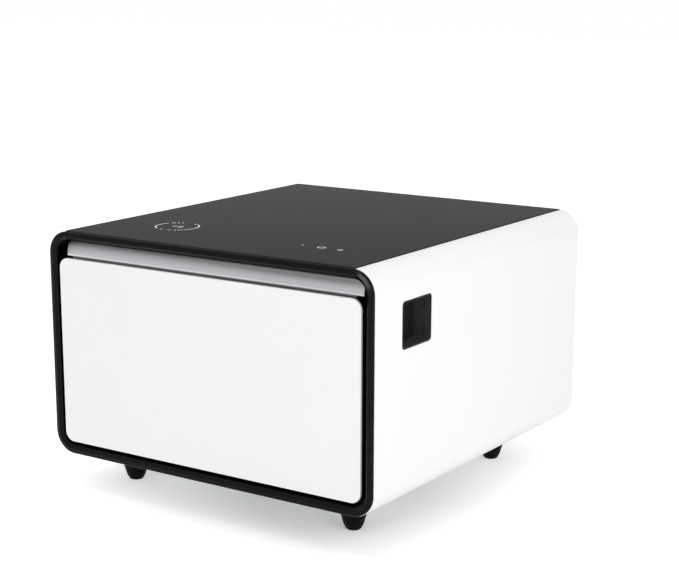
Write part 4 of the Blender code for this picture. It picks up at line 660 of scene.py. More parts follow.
def litz_winding(colours):
    """Flat coil of enamelled copper strands, with turns round the coil's middle.

    They are drawn about 5.7 mm apart, which is coarser than real ones, so that they show.
    """
    material, tree, place = surface("litz_winding", colours.copper, 0.36, {"Metallic": 1.0})
    middle = centred("charger_coil")[1]
    about = add(tree, "Mapping", {"Location": tuple(-middle)}, {"Vector": place})
    turns = add(tree, "TexWave", {"wave_type": 'RINGS', "rings_direction": 'Z',
                                  "Scale": per_metre(5.655) * WAVE_PERIOD},
                {"Vector": about})
    return patterned(material, lift=(turns, 0.8, 0.0002), tone=(turns.outputs["Fac"], 0.45, 1))


def mill_aluminium(colours):
    """Mill-finish aluminium plate: pale metal with the rolls' fine lines."""
    material, tree, place = surface("mill_aluminium", colours.aluminium, 0.35, {"Metallic": 1.0})
    along = add(tree, "Mapping", {"Scale": (per_metre(1), per_metre(1), per_metre(45))},
                {"Vector": place})
    lines = add(tree, "TexNoise", {"Scale": 1.0, "Detail": 3.0}, {"Vector": along})
    return patterned(material, gloss=(lines, 0.28, 0.44))


def moulded_rubber(colours):
    """Moulded rubber: dull near-black with a fine dusty bloom."""
    material, tree, place = surface("moulded_rubber", colours.rubber, 0.78,
                                    {"Specular IOR Level": 0.2})
    bloom = add(tree, "TexNoise", {"Scale": per_metre(3), "Detail": 5.0}, {"Vector": place})
    return patterned(material, lift=(bloom, 0.25, 0.00006), tone=(bloom, 1, 1.7))


def gasket_pvc(colours):
    """Soft gasket PVC: mid grey and waxy, with a faint cloud in its sheen."""
    material, tree, place = surface("gasket_pvc", colours.gasket, 0.55,
                                    {"Specular IOR Level": 0.3})
    wax = add(tree, "TexNoise", {"Scale": per_metre(6), "Detail": 3.0}, {"Vector": place})
    return patterned(material, lift=(wax, 0.2, 0.0001), gloss=(wax, 0.48, 0.64))


def circuit_board(colours):
    """Circuit board: green solder mask over a net of copper tracks in rows 2.5 mm apart."""
    material, tree, place = surface("circuit_board", colours.board, 0.35)
    tracks = add(tree, "TexBrick", {"Scale": per_metre(10), "Mortar Size": 0.035,
                                    "Color1": colours.board, "Color2": shade(colours.board, 0.8),
                                    "Mortar": shade(colours.board, 2.4)}, {"Vector": place})
    return patterned(material, lift=(tracks.outputs["Fac"], 0.4, 0.00004),
                     tone=tracks.outputs["Color"])


def opal_polycarbonate(colours):
    """Opal polycarbonate: milky, lets light through, ribbed every 16 mm to spread it."""
    material, tree, place = surface(
        "opal_polycarbonate", colours.lamp, 0.35,
        {"IOR": 1.58, "Subsurface Weight": 0.5, "Subsurface Scale": 0.004})
    ribs = add(tree, "TexWave", {"bands_direction": 'X', "Scale": per_metre(15.71) * WAVE_PERIOD},
               {"Vector": place})
    return patterned(material, lift=(ribs.outputs["Fac"], 0.5, 0.0003))


def grey_abs(colours):
    """Moulded grey ABS: matt with a fine grain of 0.8 mm."""
    material, tree, place = surface("grey_abs", colours.grey_box, 0.50,
                                    {"Specular IOR Level": 0.3})
    grain = add(tree, "TexVoronoi", {"Scale": per_metre(0.8)}, {"Vector": place})
    return patterned(material, lift=(grain, 0.25, 0.00005), gloss=(grain, 0.44, 0.58))


def seen_rays(tree):
    """1 for rays from the camera, in a reflection or through glass, else 0."""
    rays = add(tree, "LightPath")
    seen = rays.outputs["Is Camera Ray"]
    for kind in ("Is Glossy Ray", "Is Transmission Ray"):
        seen = add(tree, "Math", {"operation": 'MAXIMUM'}, {0: seen, 1: rays.outputs[kind]})
    return seen


def studio_floor(colours):
    """Pale matt studio floor. To the camera and in reflections it is lifted towards white.

    The glow that lifts it is painted light. The lift is least under the table's front right part,
    where it leaves the soft shadow deepest, and grows outwards to the open floor, which is white.
    """
    material, tree, place = surface("studio_floor", colours.floor, 0.9,
                                    {"Specular IOR Level": 0.0})
    # Painted light: the glow is least near the table's shadow, so that it stays dark, and lifts the
    # rest to white
    away = add(tree, "VectorMath", {"operation": 'DISTANCE', 1: PAINTED_LIFT_CENTRE}, {0: place})
    even = add(tree, "MapRange", {"From Min": PAINTED_LIFT_NEAR[0], "From Max": PAINTED_LIFT_FAR[0],
                                  "To Min": PAINTED_LIFT_NEAR[1], "To Max": PAINTED_LIFT_FAR[1]},
               {"Value": away.outputs["Value"]})
    lift = add(tree, "Math", {"operation": 'MULTIPLY'}, {0: seen_rays(tree), 1: even})
    glow = add(tree, "Emission", {"Color": (1, 1, 1, 1)}, {"Strength": lift})
    speck = add(tree, "TexNoise", {"Scale": per_metre(5), "Detail": 2.0}, {"Vector": place})
    both = add(tree, "AddShader", None, {0: tree.nodes["Principled BSDF"], 1: glow})
    join(tree, tree.nodes["Material Output"], {"Surface": both})
    return patterned(material, tone=(speck, 1, 0.99))


# The material of each slot of the record
FINISHES = {
    "shell_white": powder_coated_steel,
    "frame_black": polished_abs,
    "top_glass": tinted_glass,
    "door_white": lacquered_panel,
    "channel_silver": brushed_anodised_aluminium,
    "black_plastic": grained_polypropylene,
    "inner_white": thermoformed_polystyrene,
    "foam": polyurethane_foam,
    "sheet_steel": zinc_plated_steel,
    "compressor_black": stoved_enamel,
    "copper": drawn_copper,
    "plate_aluminium": mill_aluminium,
    "rubber_black": moulded_rubber,
    "gasket_grey": gasket_pvc,
    "circuit_board": circuit_board,
    "lamp_cover": opal_polycarbonate,
    "grey_plastic": grey_abs,
}

# Light of the studio, at which a colour renders about as it is written
WORLD_LIGHT = 0.45
BACKGROUND_LIGHT = 1.0
FLOOR_HALF = 14.0
# Painted light on the floor: where its glowing lift is least, and its distance and the lift there,
# near and far
PAINTED_LIFT_CENTRE = (0.15, -0.15, 0)
PAINTED_LIFT_NEAR = (0.15, 0.25)
PAINTED_LIFT_FAR = (0.65, 0.64)
# Name, place, side and power in watts of each lamp
LAMPS = (
    ("key_softbox", (3.4, -1.2, 1.3), 1.8, 50.5),
    ("front_softbox", (-0.8, -4.0, 0.68), 1.0, 37.0),
    ("top_softbox", (-0.3, -0.1, 3.4), 1.6, 27.0),
)
LAMP_TARGET = (0, 0, 0.25)

# Camera at the photograph's angle: its place, its turn in degrees and its lens
CAMERA_PLACE = (1.637, -2.3908, 0.934)
CAMERA_AZIMUTH = 34.33
CAMERA_ELEVATION = 13.81
CAMERA_LENS = 86.83
CAMERA_SHIFT = (0.0224, 0.1003)

# The slots' materials that are made so far
MADE = {}


def finish_of(slot):
    """The material of a slot, made the first time it is asked for."""
    if slot not in MADE:
        MADE[slot] = FINISHES[slot](bpy.context.scene.table_colours)
    return MADE[slot]


class Step:
    """What all the operators share."""
    bl_options = {'REGISTER', 'UNDO'}


class TABLE_OT_stage(Step, bpy.types.Operator):
    """Make the pale floor, the white surround, the soft lamps and the camera"""
    bl_idname = "cooler_table.stage"
    bl_label = "Stage"

    def execute(self, context):
        corners = np.array(((-1, -1), (1, -1), (1, 1), (-1, 1))) * FLOOR_HALF
        mesh = bpy.data.meshes.new("studio_floor")
        mesh.from_pydata(np.pad(corners, ((0, 0), (0, 1))).tolist(), [], [(0, 1, 2, 3)])
        mesh.materials.append(studio_floor(context.scene.table_colours))
        linked("studio_floor", mesh)
        self.make_world(context)
        for name, place, size, power in LAMPS:
            light = bpy.data.lights.new(name, 'AREA')
            light.size = size
            light.energy = power
            lamp = linked(name, light)
            lamp.location = place
            aim = Vector(LAMP_TARGET) - lamp.location
            lamp.rotation_euler = aim.to_track_quat('-Z', 'Y').to_euler()
        lens = bpy.data.cameras.new("camera")
        lens.lens = CAMERA_LENS
        lens.shift_x, lens.shift_y = CAMERA_SHIFT
        lens.clip_end = FLOOR_HALF * 3
        camera = linked("camera", lens)
        camera.location = CAMERA_PLACE
        camera.rotation_euler = np.radians((90 - CAMERA_ELEVATION, 0, CAMERA_AZIMUTH))
        context.scene.camera = camera
        context.scene.view_settings.view_transform = 'Standard'
        return {'FINISHED'}

    def make_world(self, context):
        """White all round: a plain light on the table, pure white to camera and reflections."""
        world = bpy.data.worlds.new("studio")
        context.scene.world = world
        world.use_nodes = True
        tree = world.node_tree
        strength = add(tree, "MapRange", {"To Min": WORLD_LIGHT, "To Max": BACKGROUND_LIGHT},
                       {"Value": seen_rays(tree)})
        background = tree.nodes["Background"]
        background.inputs["Color"].default_value = (1, 1, 1, 1)
        join(tree, background, {"Strength": strength})


class TABLE_OT_side_shells(Step, bpy.types.Operator):
    """Make the two bent white shells, the right one cut out for the outlet"""
    bl_idname = "cooler_table.side_shells"
    bl_label = "Side shells"

    def execute(self, context):
        sizes = context.scene.table_sizes
        low, high = span("side_shell_right")
        for name, side in (("side_shell_left", -1), ("side_shell_right", 1)):
            outline = shell_outline(sizes, low, high) * (side, 1)
            shell = prism(name + "_sheet", outline, "Y", low[1], high[1])
            if side > 0:
                line = straight(high[0] - sizes.shell_wall - OVERRUN, high[0] + OVERRUN,
                                -CLEARANCE)
                shell = cut(shell, [swept("outlet_cut", "outlet_bezel", "X", line,
                                          sizes.bezel_radius)])
            finished(shell, name, edge=sizes.sheet_edge)
        return {'FINISHED'}


def shell_outline(sizes, low, high):
    """Outline (x, z) of the right shell.

    Two outer arcs, the return under the body, the same arcs moved in by the wall, and the ledge
    that carries the glass.
    """
    radius = sizes.shell_radius
    inner = radius - sizes.shell_wall
    top = np.array((high[0] - radius, high[2] - radius))
    foot = np.array((high[0] - radius, low[2] + radius))
    slot_x = span("glass_top")[1][0] + CLEARANCE
    ledge_x = span("top_deck")[1][0] + CLEARANCE
    ledge_top = span("glass_top")[0][2] - CLEARANCE
    ledge_low = ledge_top - sizes.shell_wall
    edge_angle = math.degrees(math.acos((slot_x - top[0]) / radius))
    ledge_angle = math.degrees(math.asin((ledge_low - top[1]) / inner))
    return np.concatenate((
        arc(top, radius, edge_angle, 0), arc(foot, radius, 0, -90),
        ((low[0], low[2]), (low[0], low[2] + sizes.shell_wall)),
        arc(foot, inner, -90, 0), arc(top, inner, 0, ledge_angle),
        ((ledge_x, ledge_low), (ledge_x, ledge_top), (slot_x, ledge_top))))


class TABLE_OT_front_frame(Step, bpy.types.Operator):
    """Make the polished black frame: a band, an inner slope and the collar behind them"""
    bl_idname = "cooler_table.front_frame"
    bl_label = "Front frame"

    def execute(self, context):
        sizes = context.scene.table_sizes
        low, high = span("front_frame")
        face_back = low[1] + sizes.frame_depth
        collar = sizes.frame_face - sizes.collar_wall
        line = softened(
            ((0, face_back), (0, low[1] + sizes.frame_tilt), (sizes.frame_band, low[1]),
             (sizes.frame_face, low[1] + sizes.frame_slope), (sizes.frame_face, high[1]),
             (collar, high[1]), (collar, face_back)),
            (CLEARANCE, sizes.frame_outer_round, sizes.frame_ridge, sizes.frame_lip, CLEARANCE,
             CLEARANCE, 0))
        line[:, 1] += low[1] - line[:, 1].min()
        finished(swept("front_frame_moulding", "front_frame", "Y", line, sizes.frame_radius,
                       ring=True), "front_frame")
        return {'FINISHED'}


class TABLE_OT_glass_top(Step, bpy.types.Operator):
    """Make the glass plate with polished edges, and the strip and deck that go with it"""
    bl_idname = "cooler_table.glass_top"
    bl_label = "Glass top"

    def execute(self, context):
        sizes = context.scene.table_sizes
        low, high = span("glass_top")
        top = high[2] - sizes.print_height
        edge = sizes.glass_edge
        reach = edge * FLAT_REACH
        line = softened(((reach, low[2]), (0, low[2]), (0, top), (reach, top)),
                        (0, edge, edge, 0), CORNER_STEPS // 2)
        finished(swept("glass_plate", "glass_top", "Z", line, sizes.glass_corner, edge / 2,
                       steps=FINE_STEPS), "glass_top")
        soften(sizes.sheet_edge, "rear_trim", "top_deck")
        return {'FINISHED'}


def stroke(points, width, low, high):
    """Rows of a flat printed line: at each point, the line's normal times half the width.

    The rows are the four corners of the line's section.
    """
    points = np.asarray(points, float)
    along = np.gradient(points, axis=0)
    along /= np.linalg.norm(along, axis=1, keepdims=True)
    aside = np.stack((-along[:, 1], along[:, 0]), -1) * width / 2
    left, right = points + aside, points - aside
    corners = [np.pad(side, ((0, 0), (0, 1)), constant_values=level)
               for side, level in ((left, low), (right, low), (right, high), (left, high))]
    return np.stack(corners, 1)


# How far the printed marks reach down from their top, as a share of their height above the glass
PRINT_SHARE = 1.5


class TABLE_OT_glass_marks(Step, bpy.types.Operator):
    """Print the charging ring and the touch marks on the glass"""
    bl_idname = "cooler_table.glass_marks"
    bl_label = "Glass marks"

    def execute(self, context):
        sizes = context.scene.table_sizes
        high = span("glass_top")[1][2]
        low = high - sizes.print_height * PRINT_SHARE
        ink = screen_ink(context.scene.table_colours)
        for name, lines in (
                ("charging_marks", charging_marks(sizes, centred("charger_coil")[1][:2])),
                ("touch_marks", touch_marks(sizes, centred("touch_board")[1][:2]))):
            grids = [(stroke(points, width, low, high), False) for points, width in lines]
            finished(solid(name, grids), body="cabinet", slot="top_glass", material=ink)
        return {'FINISHED'}


# Marks of the charging ring, in degrees round its middle: two long arcs and a dash, short ticks,
# and the step from one point of an arc to the next
RING_ARCS = ((153, 244), (-34, 59), (283, 293))
RING_TICKS = (70, 114, 125, 135, 141, 263, 303, 312, 320)
RING_STEP = 4
# Zigzag and upright plate in the ring, as points in metres about the middle of each
ZIGZAG = ((0.0020, 0.0056), (-0.0024, 0.0002), (0.0024, -0.0002), (-0.0020, -0.0056))
PLATE_HALF = (0.0026, 0.0052)
PLATE_RADIUS = 0.0010
SIGN_SHIFT = (0.0023, -0.0015)
SIGN_SPACING = 0.0127


def charging_marks(sizes, centre):
    """Lines of the charging ring, and of a zigzag and an upright plate in its middle."""
    radius = sizes.ring_radius
    lines = [(arc(centre, radius, start, end, 2 + (end - start) // RING_STEP), sizes.ring_line)
             for start, end in RING_ARCS]
    for angle in np.radians(RING_TICKS):
        way = np.array((math.cos(angle), math.sin(angle)))
        reach = radius + np.array((-0.5, 0.5)) * sizes.ring_tick
        lines.append((centre + reach[:, None] * way, sizes.ring_line))
    plate = rounded_loops(*PLATE_HALF, PLATE_RADIUS, FINE_STEPS // 2)[0]
    plate = np.concatenate((plate, plate[:1]))
    for side, sign in ((-0.5, np.array(ZIGZAG)), (0.5, plate)):
        lines.append((sign + centre + SIGN_SHIFT + (side * SIGN_SPACING, 0), sizes.mark_line))
    return lines


# The touch marks' places from the middle of the touch board and their radii, the start, end and
# steps of the dot's and the open circle's arcs in degrees, the bar's two ends as shares of that
# circle's radius, and the turns of the star's bars in degrees
TOUCH_DOT = (-0.0380, 0.0020)
TOUCH_POWER = (0.0012, -0.0004)
TOUCH_STAR = (0.0390, -0.0026)
POWER_RADIUS = 0.0064
STAR_RADIUS = 0.0054
DOT_ARC = (0, 350, 12)
POWER_ARC = (125, 415, 28)
BAR_SHARES = (0.2, 1.2)
STAR_TURNS = (0, 60, 120)


def touch_marks(sizes, centre):
    """Lines of a small dot, an open circle with a bar, and a star of three crossed bars."""
    line = sizes.mark_line
    dot, power, star = (centre + place for place in (TOUCH_DOT, TOUCH_POWER, TOUCH_STAR))
    bar = np.array([(0, share) for share in BAR_SHARES]) * POWER_RADIUS
    lines = [(arc(dot, line / 2, *DOT_ARC), line), (arc(power, POWER_RADIUS, *POWER_ARC), line),
             (power + bar, line)]
    for angle in np.radians(STAR_TURNS):
        way = STAR_RADIUS * np.array((math.cos(angle), math.sin(angle)))
        lines.append((star + np.array((-way, way)), line))
    return lines


def slot_loop(centre, half_length, half_height):
    """Outline of a slot with round ends about a centre: two half circles."""
    reach = np.array((half_length - half_height, 0))
    return np.concatenate((arc(centre + reach, half_height, -90, 90, FINE_STEPS),
                           arc(centre - reach, half_height, 90, 270, FINE_STEPS)))


# Screws round the back panel, as shares of the panel's half width and half height
PANEL_SCREW_SHARES = ((-0.94, 0.94), (0, 0.955), (0.94, 0.94), (-0.965, 0.3), (0.965, 0.3),
                      (-0.965, -0.3), (0.965, -0.3), (-0.9, -0.955), (0, -0.955), (0.9, -0.955))
# A pan head: its height, its grid, its rim as a share of the height, and how flat its dome is
PAN_HEIGHT = 0.0024
PAN_RINGS = 15
PAN_STEPS = 48
PAN_RIM_SHARE = 0.45
PAN_POWER = 2.6
# Its cross recess: reach and half width as shares of the radius, depth as a share of the height,
# and how steep its sides and ends are
CROSS_SLOT_SHARE = 0.62
CROSS_WIDTH_SHARE = 0.17
CROSS_DEPTH_SHARE = 0.55
CROSS_SIDE = 1.4
CROSS_END = 4


def pan_head_rows(centre, radius):
    """Rows of a pan head with a cross recess, about the Y axis.

    Its height falls as sqrt(1 - r^power) from the middle to the rim. The recess lowers it where
    the distance to either arm of the cross is small, and fades out towards the arm's end.
    """
    share = np.linspace(0, 1, PAN_RINGS)[:, None]
    angle = np.linspace(0, 2 * math.pi, PAN_STEPS, endpoint=False)[None, :]
    a, b = share * np.cos(angle), share * np.sin(angle)
    dome = PAN_RIM_SHARE + (1 - PAN_RIM_SHARE) * np.sqrt(np.clip(1 - share ** PAN_POWER, 0, 1))
    across = np.minimum(np.abs(a), np.abs(b)) / CROSS_WIDTH_SHARE
    along = np.maximum(np.abs(a), np.abs(b)) / CROSS_SLOT_SHARE
    recess = np.clip(CROSS_SIDE - across, 0, 1) * np.clip((1 - along) * CROSS_END, 0, 1)
    lift = PAN_HEIGHT * (dome - CROSS_DEPTH_SHARE * recess)
    rows = np.stack((centre[0] + radius * a, centre[1] + lift, centre[2] + radius * b), -1)
    foot = rows[-1:].copy()
    foot[..., 1] = centre[1]
    return np.concatenate((rows, foot))


# The gland: its barrel and bore, how thick its flange is, and the rounds of its profile
GLAND_BARREL = 0.008
GLAND_BORE = 0.0045
GLAND_FLANGE = 0.002
GLAND_ROUNDS = (0.0007, 0.0008, CLEARANCE, 0, CLEARANCE, CLEARANCE)


class TABLE_OT_back(Step, bpy.types.Operator):
    """Make the back panel with its vent slots and screws, and the gland of the lead"""
    bl_idname = "cooler_table.back"
    bl_label = "Back"

    def execute(self, context):
        sizes = context.scene.table_sizes
        half, middle, low, high = centred("back_panel")
        panel = swept("back_panel_sheet", "back_panel", "Y", straight(low[1], high[1]),
                      sizes.shell_radius - sizes.shell_wall - CLEARANCE)
        finished(cut(panel, [self.vents(sizes, low, high), self.gland_hole(high)]), "back_panel",
                 edge=sizes.sheet_edge)
        # The shares are for X and Z, so a zero goes between them
        places = middle + np.insert(PANEL_SCREW_SHARES, 1, 0, axis=1) * half
        places[:, 1] = high[1] - CLEARANCE
        screws = [(pan_head_rows(place, sizes.panel_screw), False) for place in places]
        finished(solid("back_panel_screws", screws), body="cabinet", slot="sheet_steel")
        self.make_gland()
        return {'FINISHED'}

    def vents(self, sizes, low, high):
        """One cutter for all slots, centred on the fan."""
        fan_x = centred("fan_housing")[1][0]
        lowest = span("side_shell_right")[0][2] + sizes.vent_rise
        grids = []
        for column in range(sizes.vent_columns):
            x = fan_x + (column - (sizes.vent_columns - 1) / 2) * sizes.vent_pitch_x
            for row in range(sizes.vent_rows):
                loop = slot_loop((x, lowest + row * sizes.vent_pitch_z), sizes.vent_length / 2,
                                 sizes.vent_height / 2)
                grids.append((prism_rows(loop, "Y", low[1] - OVERRUN, high[1] + OVERRUN), False))
        return solid("vent_cutter", grids)

    def gland_hole(self, high):
        """Cutter for the gland's barrel."""
        middle = centred("cord_gland")[1]
        radius = GLAND_BARREL + CLEARANCE
        reach = OVERRUN * 2
        profile = ((0, -reach), (radius, -reach), (radius, reach), (0, reach))
        return turned("gland_cutter", profile, (middle[0], high[1], middle[2]), "Y")

    def make_gland(self):
        """The gland: a flange with soft edges, a barrel, and a bore with a soft mouth."""
        half, middle, low, high = centred("cord_gland")
        depth = high[1] - low[1]
        profile = softened(
            ((GLAND_BORE, depth), (half[0], depth), (half[0], depth - GLAND_FLANGE),
             (GLAND_BARREL, depth - GLAND_FLANGE), (GLAND_BARREL, 0), (GLAND_BORE, 0)),
            GLAND_ROUNDS)
        finished(turned("cord_gland_moulding", profile, (middle[0], low[1], middle[2]), "Y",
                        ring=True), "cord_gland")


# Outside of a foot from its top edge down to its sole, as shares of its top radius and height
FOOT_SHARES = ((1.0, 1.0), (0.621, 0.336), (0.527, 0.160), (0.424, 0.048), (0.348, 0.0))
FOOT_ROUNDS = (0, 0.030, 0.014, 0.004, 0)
# Radius of the screw's hole through a foot, and its length above the wider bore
FOOT_HOLE = 0.0033
FOOT_SEAT = 0.020


class TABLE_OT_base(Step, bpy.types.Operator):
    """Make the base pan, the four tapered feet and their screws"""
    bl_idname = "cooler_table.base"
    bl_label = "Base"

    def execute(self, context):
        sizes = context.scene.table_sizes
        soften(sizes.sheet_edge, "base_pan")
        for place in ("front_left", "front_right", "rear_left", "rear_right"):
            half, middle, low, high = centred("foot_" + place)
            height = high[2] - low[2]
            outside = softened(np.array(FOOT_SHARES) * (half[0], height), FOOT_ROUNDS)
            hole = ((sizes.foot_bore, 0), (sizes.foot_bore, height - FOOT_SEAT),
                    (FOOT_HOLE, height - FOOT_SEAT), (FOOT_HOLE, height))
            finished(turned("foot_%s_moulding" % place, np.concatenate((outside, hole)),
                            (middle[0], middle[1], low[2]), ring=True), "foot_" + place)
            soften(CLEARANCE, "foot_screw_" + place)
        return {'FINISHED'}


# Rounds of the outlet bezel's front edges and of its recess's floor
BEZEL_ROUND = 0.0009
BEZEL_FILLET = 0.0012
# A charging port: half its size, and how far its middle lies behind the face
PORT_HALF = (0.0031, 0, 0.0067)
PORT_DEPTH = 0.0137


class TABLE_OT_outlet(Step, bpy.types.Operator):
    """Make the outlet recess in the right side: bezel, outlet, ports and the box behind"""
    bl_idname = "cooler_table.outlet"
    bl_label = "Outlet"

    def execute(self, context):
        sizes = context.scene.table_sizes
        middle, low, high = centred("outlet_bezel")[1:]
        rim = sizes.bezel_rim
        floor_x = high[0] - sizes.recess_depth
        line = softened(((rim, low[0]), (0, low[0]), (0, high[0]), (rim, high[0]),
                         (rim, floor_x), (rim * FLAT_REACH, floor_x)),
                        (0, CLEARANCE, BEZEL_ROUND, BEZEL_ROUND, BEZEL_FILLET, 0))
        bezel = swept("outlet_bezel_moulding", "outlet_bezel", "X", line, sizes.bezel_radius,
                      BEZEL_FILLET, steps=FINE_STEPS * 2)
        outlet_low, outlet_high = span("mains_outlet")
        cutters = [block("outlet_hole", outlet_low - CLEARANCE,
                         outlet_high + (OVERRUN, CLEARANCE, CLEARANCE))]
        reach = np.array(PORT_HALF) + CLEARANCE
        for side in (-1, 1):
            centre = np.array((high[0] - PORT_DEPTH, span("usb_module")[0][1],
                               middle[2] + side * sizes.port_rise))
            cutters.append(block("port_hole", centre - reach - (0, OVERRUN, 0),
                                 centre + reach + (0, OVERRUN * 2, 0)))
        smooth = outlet_polycarbonate(context.scene.table_colours, sizes.recess_depth)
        finished(cut(bezel, cutters), "outlet_bezel", edge=CLEARANCE / 2, material=smooth)
        soften(CLEARANCE, "mains_outlet", material=smooth)
        soften(CLEARANCE / 2, "usb_module", material=smooth)
        soften(sizes.sheet_edge, "outlet_back_box")
        return {'FINISHED'}


# How far the panel's front face reaches in before one face closes it, in rounds of its edge
DOOR_REACH = 4


class TABLE_OT_drawer_front(Step, bpy.types.Operator):
    """Make the drawer's white panel, its black carrier and the silver handle channel"""
    bl_idname = "cooler_table.drawer_front"
    bl_label = "Drawer front"

    def execute(self, context):
        sizes = context.scene.table_sizes
        low, high = span("door_panel")
        edge = sizes.door_edge
        line = softened(((edge * DOOR_REACH, low[1]), (0, low[1]), (0, high[1]),
                         (edge, high[1])), (0, edge, CLEARANCE, 0))
        finished(swept("door_panel_sheet", "door_panel", "Y", line, sizes.door_radius),
                 "door_panel")
        # The carrier and the channel's backing take the darker black, as painted shade in the gap
        black = gap_plastic_painted_shade(context.scene.table_colours)
        soften(CLEARANCE, "door_carrier", "channel_backing", material=black)
        finished(solid("handle_channel_strip", [(channel_rows(sizes), False)]), "handle_channel")
        return {'FINISHED'}


# Grid of the handle channel: its rows, and the points across each
CHANNEL_ROWS = 46
CHANNEL_POINTS = 61


def channel_rows(sizes):
    """Rows of the handle channel from its foot up, each a loop round its front and back.

    The face stands upright at the lip and leans back by lean * s^2 at the share s of the height.
    A row's half width follows the two upper corners' circles.
    """
    low, high = span("handle_channel")
    door_high = span("door_panel")[1]
    lip_z = door_high[2] + sizes.channel_lip
    half = high[0] - sizes.channel_end_gap
    radius = sizes.channel_radius
    share = (1 - np.cos(np.linspace(0, math.pi, CHANNEL_ROWS))) / 2
    z = lip_z + (high[2] - lip_z) * share
    down = np.clip((z - (high[2] - radius)) / radius, 0, 1)
    half_row = half - radius + radius * np.sqrt(np.maximum(1 - down ** 2, 0))
    x = half_row[:, None] * np.linspace(-1, 1, CHANNEL_POINTS)
    front = np.broadcast_to((low[1] + sizes.channel_lean * share ** 2)[:, None], x.shape)
    height = np.broadcast_to(z[:, None], x.shape)
    face = np.stack((x, front, height), -1)
    rear = np.stack((x, front + sizes.channel_sheet, height), -1)[:, ::-1]
    rows = np.concatenate((face, rear), 1)
    skirt = rows[:1].copy()
    skirt[..., 0] *= (door_high[0] - sizes.door_radius) / half
    foot = skirt.copy()
    foot[..., 2] = low[2]
    return np.concatenate((foot, skirt, rows))


# Section of the gasket from its foot, as shares of its width and depth, and the rounds there
GASKET_SHARES = ((0, 0), (1, 0), (1, 0.30), (0.86, 0.45), (1, 0.6), (1, 1), (0, 1), (0, 0.6),
                 (0.14, 0.45), (0, 0.30))
GASKET_ROUNDS = (0.0004, 0.0004, 0.0006, 0.0008, 0.0006, 0.0018, 0.0018, 0.0006, 0.0008, 0.0006)
# How far a tub's floor or back reaches in as rounded rows, before one flat face closes it
TUB_INSET = 0.05
# The bin's round foot, which is its least corner too, its round rim, and how much of an inset
# its corners keep
BIN_FOOT = 0.003
BIN_RIM = 0.0012
BIN_CORNER_SHARE = 0.3
DIVIDER_EDGE = 0.0008


class TABLE_OT_drawer_inside(Step, bpy.types.Operator):
    """Make the drawer's inner panel, gasket, bin, divider, brackets and slides"""
    bl_idname = "cooler_table.drawer_inside"
    bl_label = "Drawer inside"

    def execute(self, context):
        sizes = context.scene.table_sizes
        soften(sizes.sheet_edge, "door_liner")
        self.make_gasket(sizes)
        self.make_bin(sizes)
        soften(DIVIDER_EDGE, "bin_divider")
        for piece in ("drawer_bracket", "rail_outer", "rail_middle", "rail_inner"):
            soften(CLEARANCE / 2, piece + "_left", piece + "_right")
        return {'FINISHED'}

    def make_gasket(self, sizes):
        """The gasket: a closed ring whose section has a flat foot, a waist and a round head."""
        low, high = span("door_gasket")
        width = sizes.gasket_width
        points = np.array(GASKET_SHARES) * (width, high[1] - low[1]) + (0, low[1])
        finished(swept("door_gasket_ring", "door_gasket", "Y", softened(points, GASKET_ROUNDS),
                       sizes.gasket_radius + width, ring=True), "door_gasket")

    def make_bin(self, sizes):
        """The bin: an outer wall with a round foot, a round rim and an inner wall with a fillet."""
        low, high = span("drawer_bin")
        wall = sizes.bin_wall
        line = softened(
            ((TUB_INSET, low[2]), (0, low[2]), (0, high[2]), (wall, high[2]),
             (wall, low[2] + wall), (TUB_INSET, low[2] + wall)),
            (0, BIN_FOOT, BIN_RIM, BIN_RIM, sizes.bin_fillet, 0))
        corner = sizes.bin_radius + BIN_CORNER_SHARE * line[:, 0]
        finished(swept("drawer_bin_tub", "drawer_bin", "Z", line, corner, BIN_FOOT),
                 "drawer_bin")


# The liner: how far its mouth turns out under the flange, as a negative inset, the rounds of the
# mouth inside and outside, its least corner, and how far its floor lies below the brackets
LINER_REACH = -0.02
LINER_MOUTH = (0.003, 0.001)
LINER_CORNER = 0.002
LINER_DROP = 0.007
LIGHT_EDGE = 0.0012


class TABLE_OT_cold_space(Step, bpy.types.Operator):
    """Make the liner of the cold space, its light and the insulation round it"""
    bl_idname = "cooler_table.cold_space"
    bl_label = "Cold space"

    def execute(self, context):
        self.make_liner(context.scene.table_sizes)
        soften(LIGHT_EDGE, "cavity_light")
        soften(0, "insulation_foam", "door_insulation")
        soften(CLEARANCE, "evaporator_plate")
        return {'FINISHED'}

    def make_liner(self, sizes):
        """The tub: inner walls with fillets, the flange round its mouth, and the outer walls."""
        half, middle, low = centred("cavity_liner")[:3]
        wall = sizes.liner_wall
        fillet = sizes.liner_fillet
        half_x = span("rail_outer_right")[1][0] + CLEARANCE
        top_z = span("cavity_light")[1][2] + CLEARANCE
        floor_z = span("drawer_bracket_left")[0][2] - LINER_DROP
        back = span("evaporator_plate")[0][1] - wall - CLEARANCE
        front = low[1]
        inner = softened(((TUB_INSET, back), (0, back), (0, front), (LINER_REACH, front)),
                         (0, fillet, LINER_MOUTH[0], 0))[:-1]
        outer = softened(((LINER_REACH, front + wall), (-wall, front + wall),
                          (-wall, back + wall), (TUB_INSET, back + wall)),
                         (0, LINER_MOUTH[1], fillet + wall, 0))[1:]
        rows = []
        for inset, depth in (inner.T, outer.T):
            loops = rounded_loops(half_x - inset, (top_z - floor_z) / 2 - inset,
                                  np.maximum(fillet - inset, LINER_CORNER))
            rows.append(placed(loops, depth, "Y", (0, (top_z + floor_z) / 2)))
        mouth = rounded_loops(half[0], half[2],
                              sizes.frame_radius - sizes.frame_face + sizes.collar_wall)[0]
        flange = prism_rows(mouth + (0, middle[2]), "Y", front, front + wall)
        points = np.concatenate((rows[0], flange, rows[1]))
        finished(solid("cavity_liner_tub", [(points, False)]), "cavity_liner")


# The can's weld bead: its height as a share of the can's, how far it swells, and half its width
BEAD_SHARE = 0.48
BEAD_SWELL = 0.0012
BEAD_HALF = 0.002
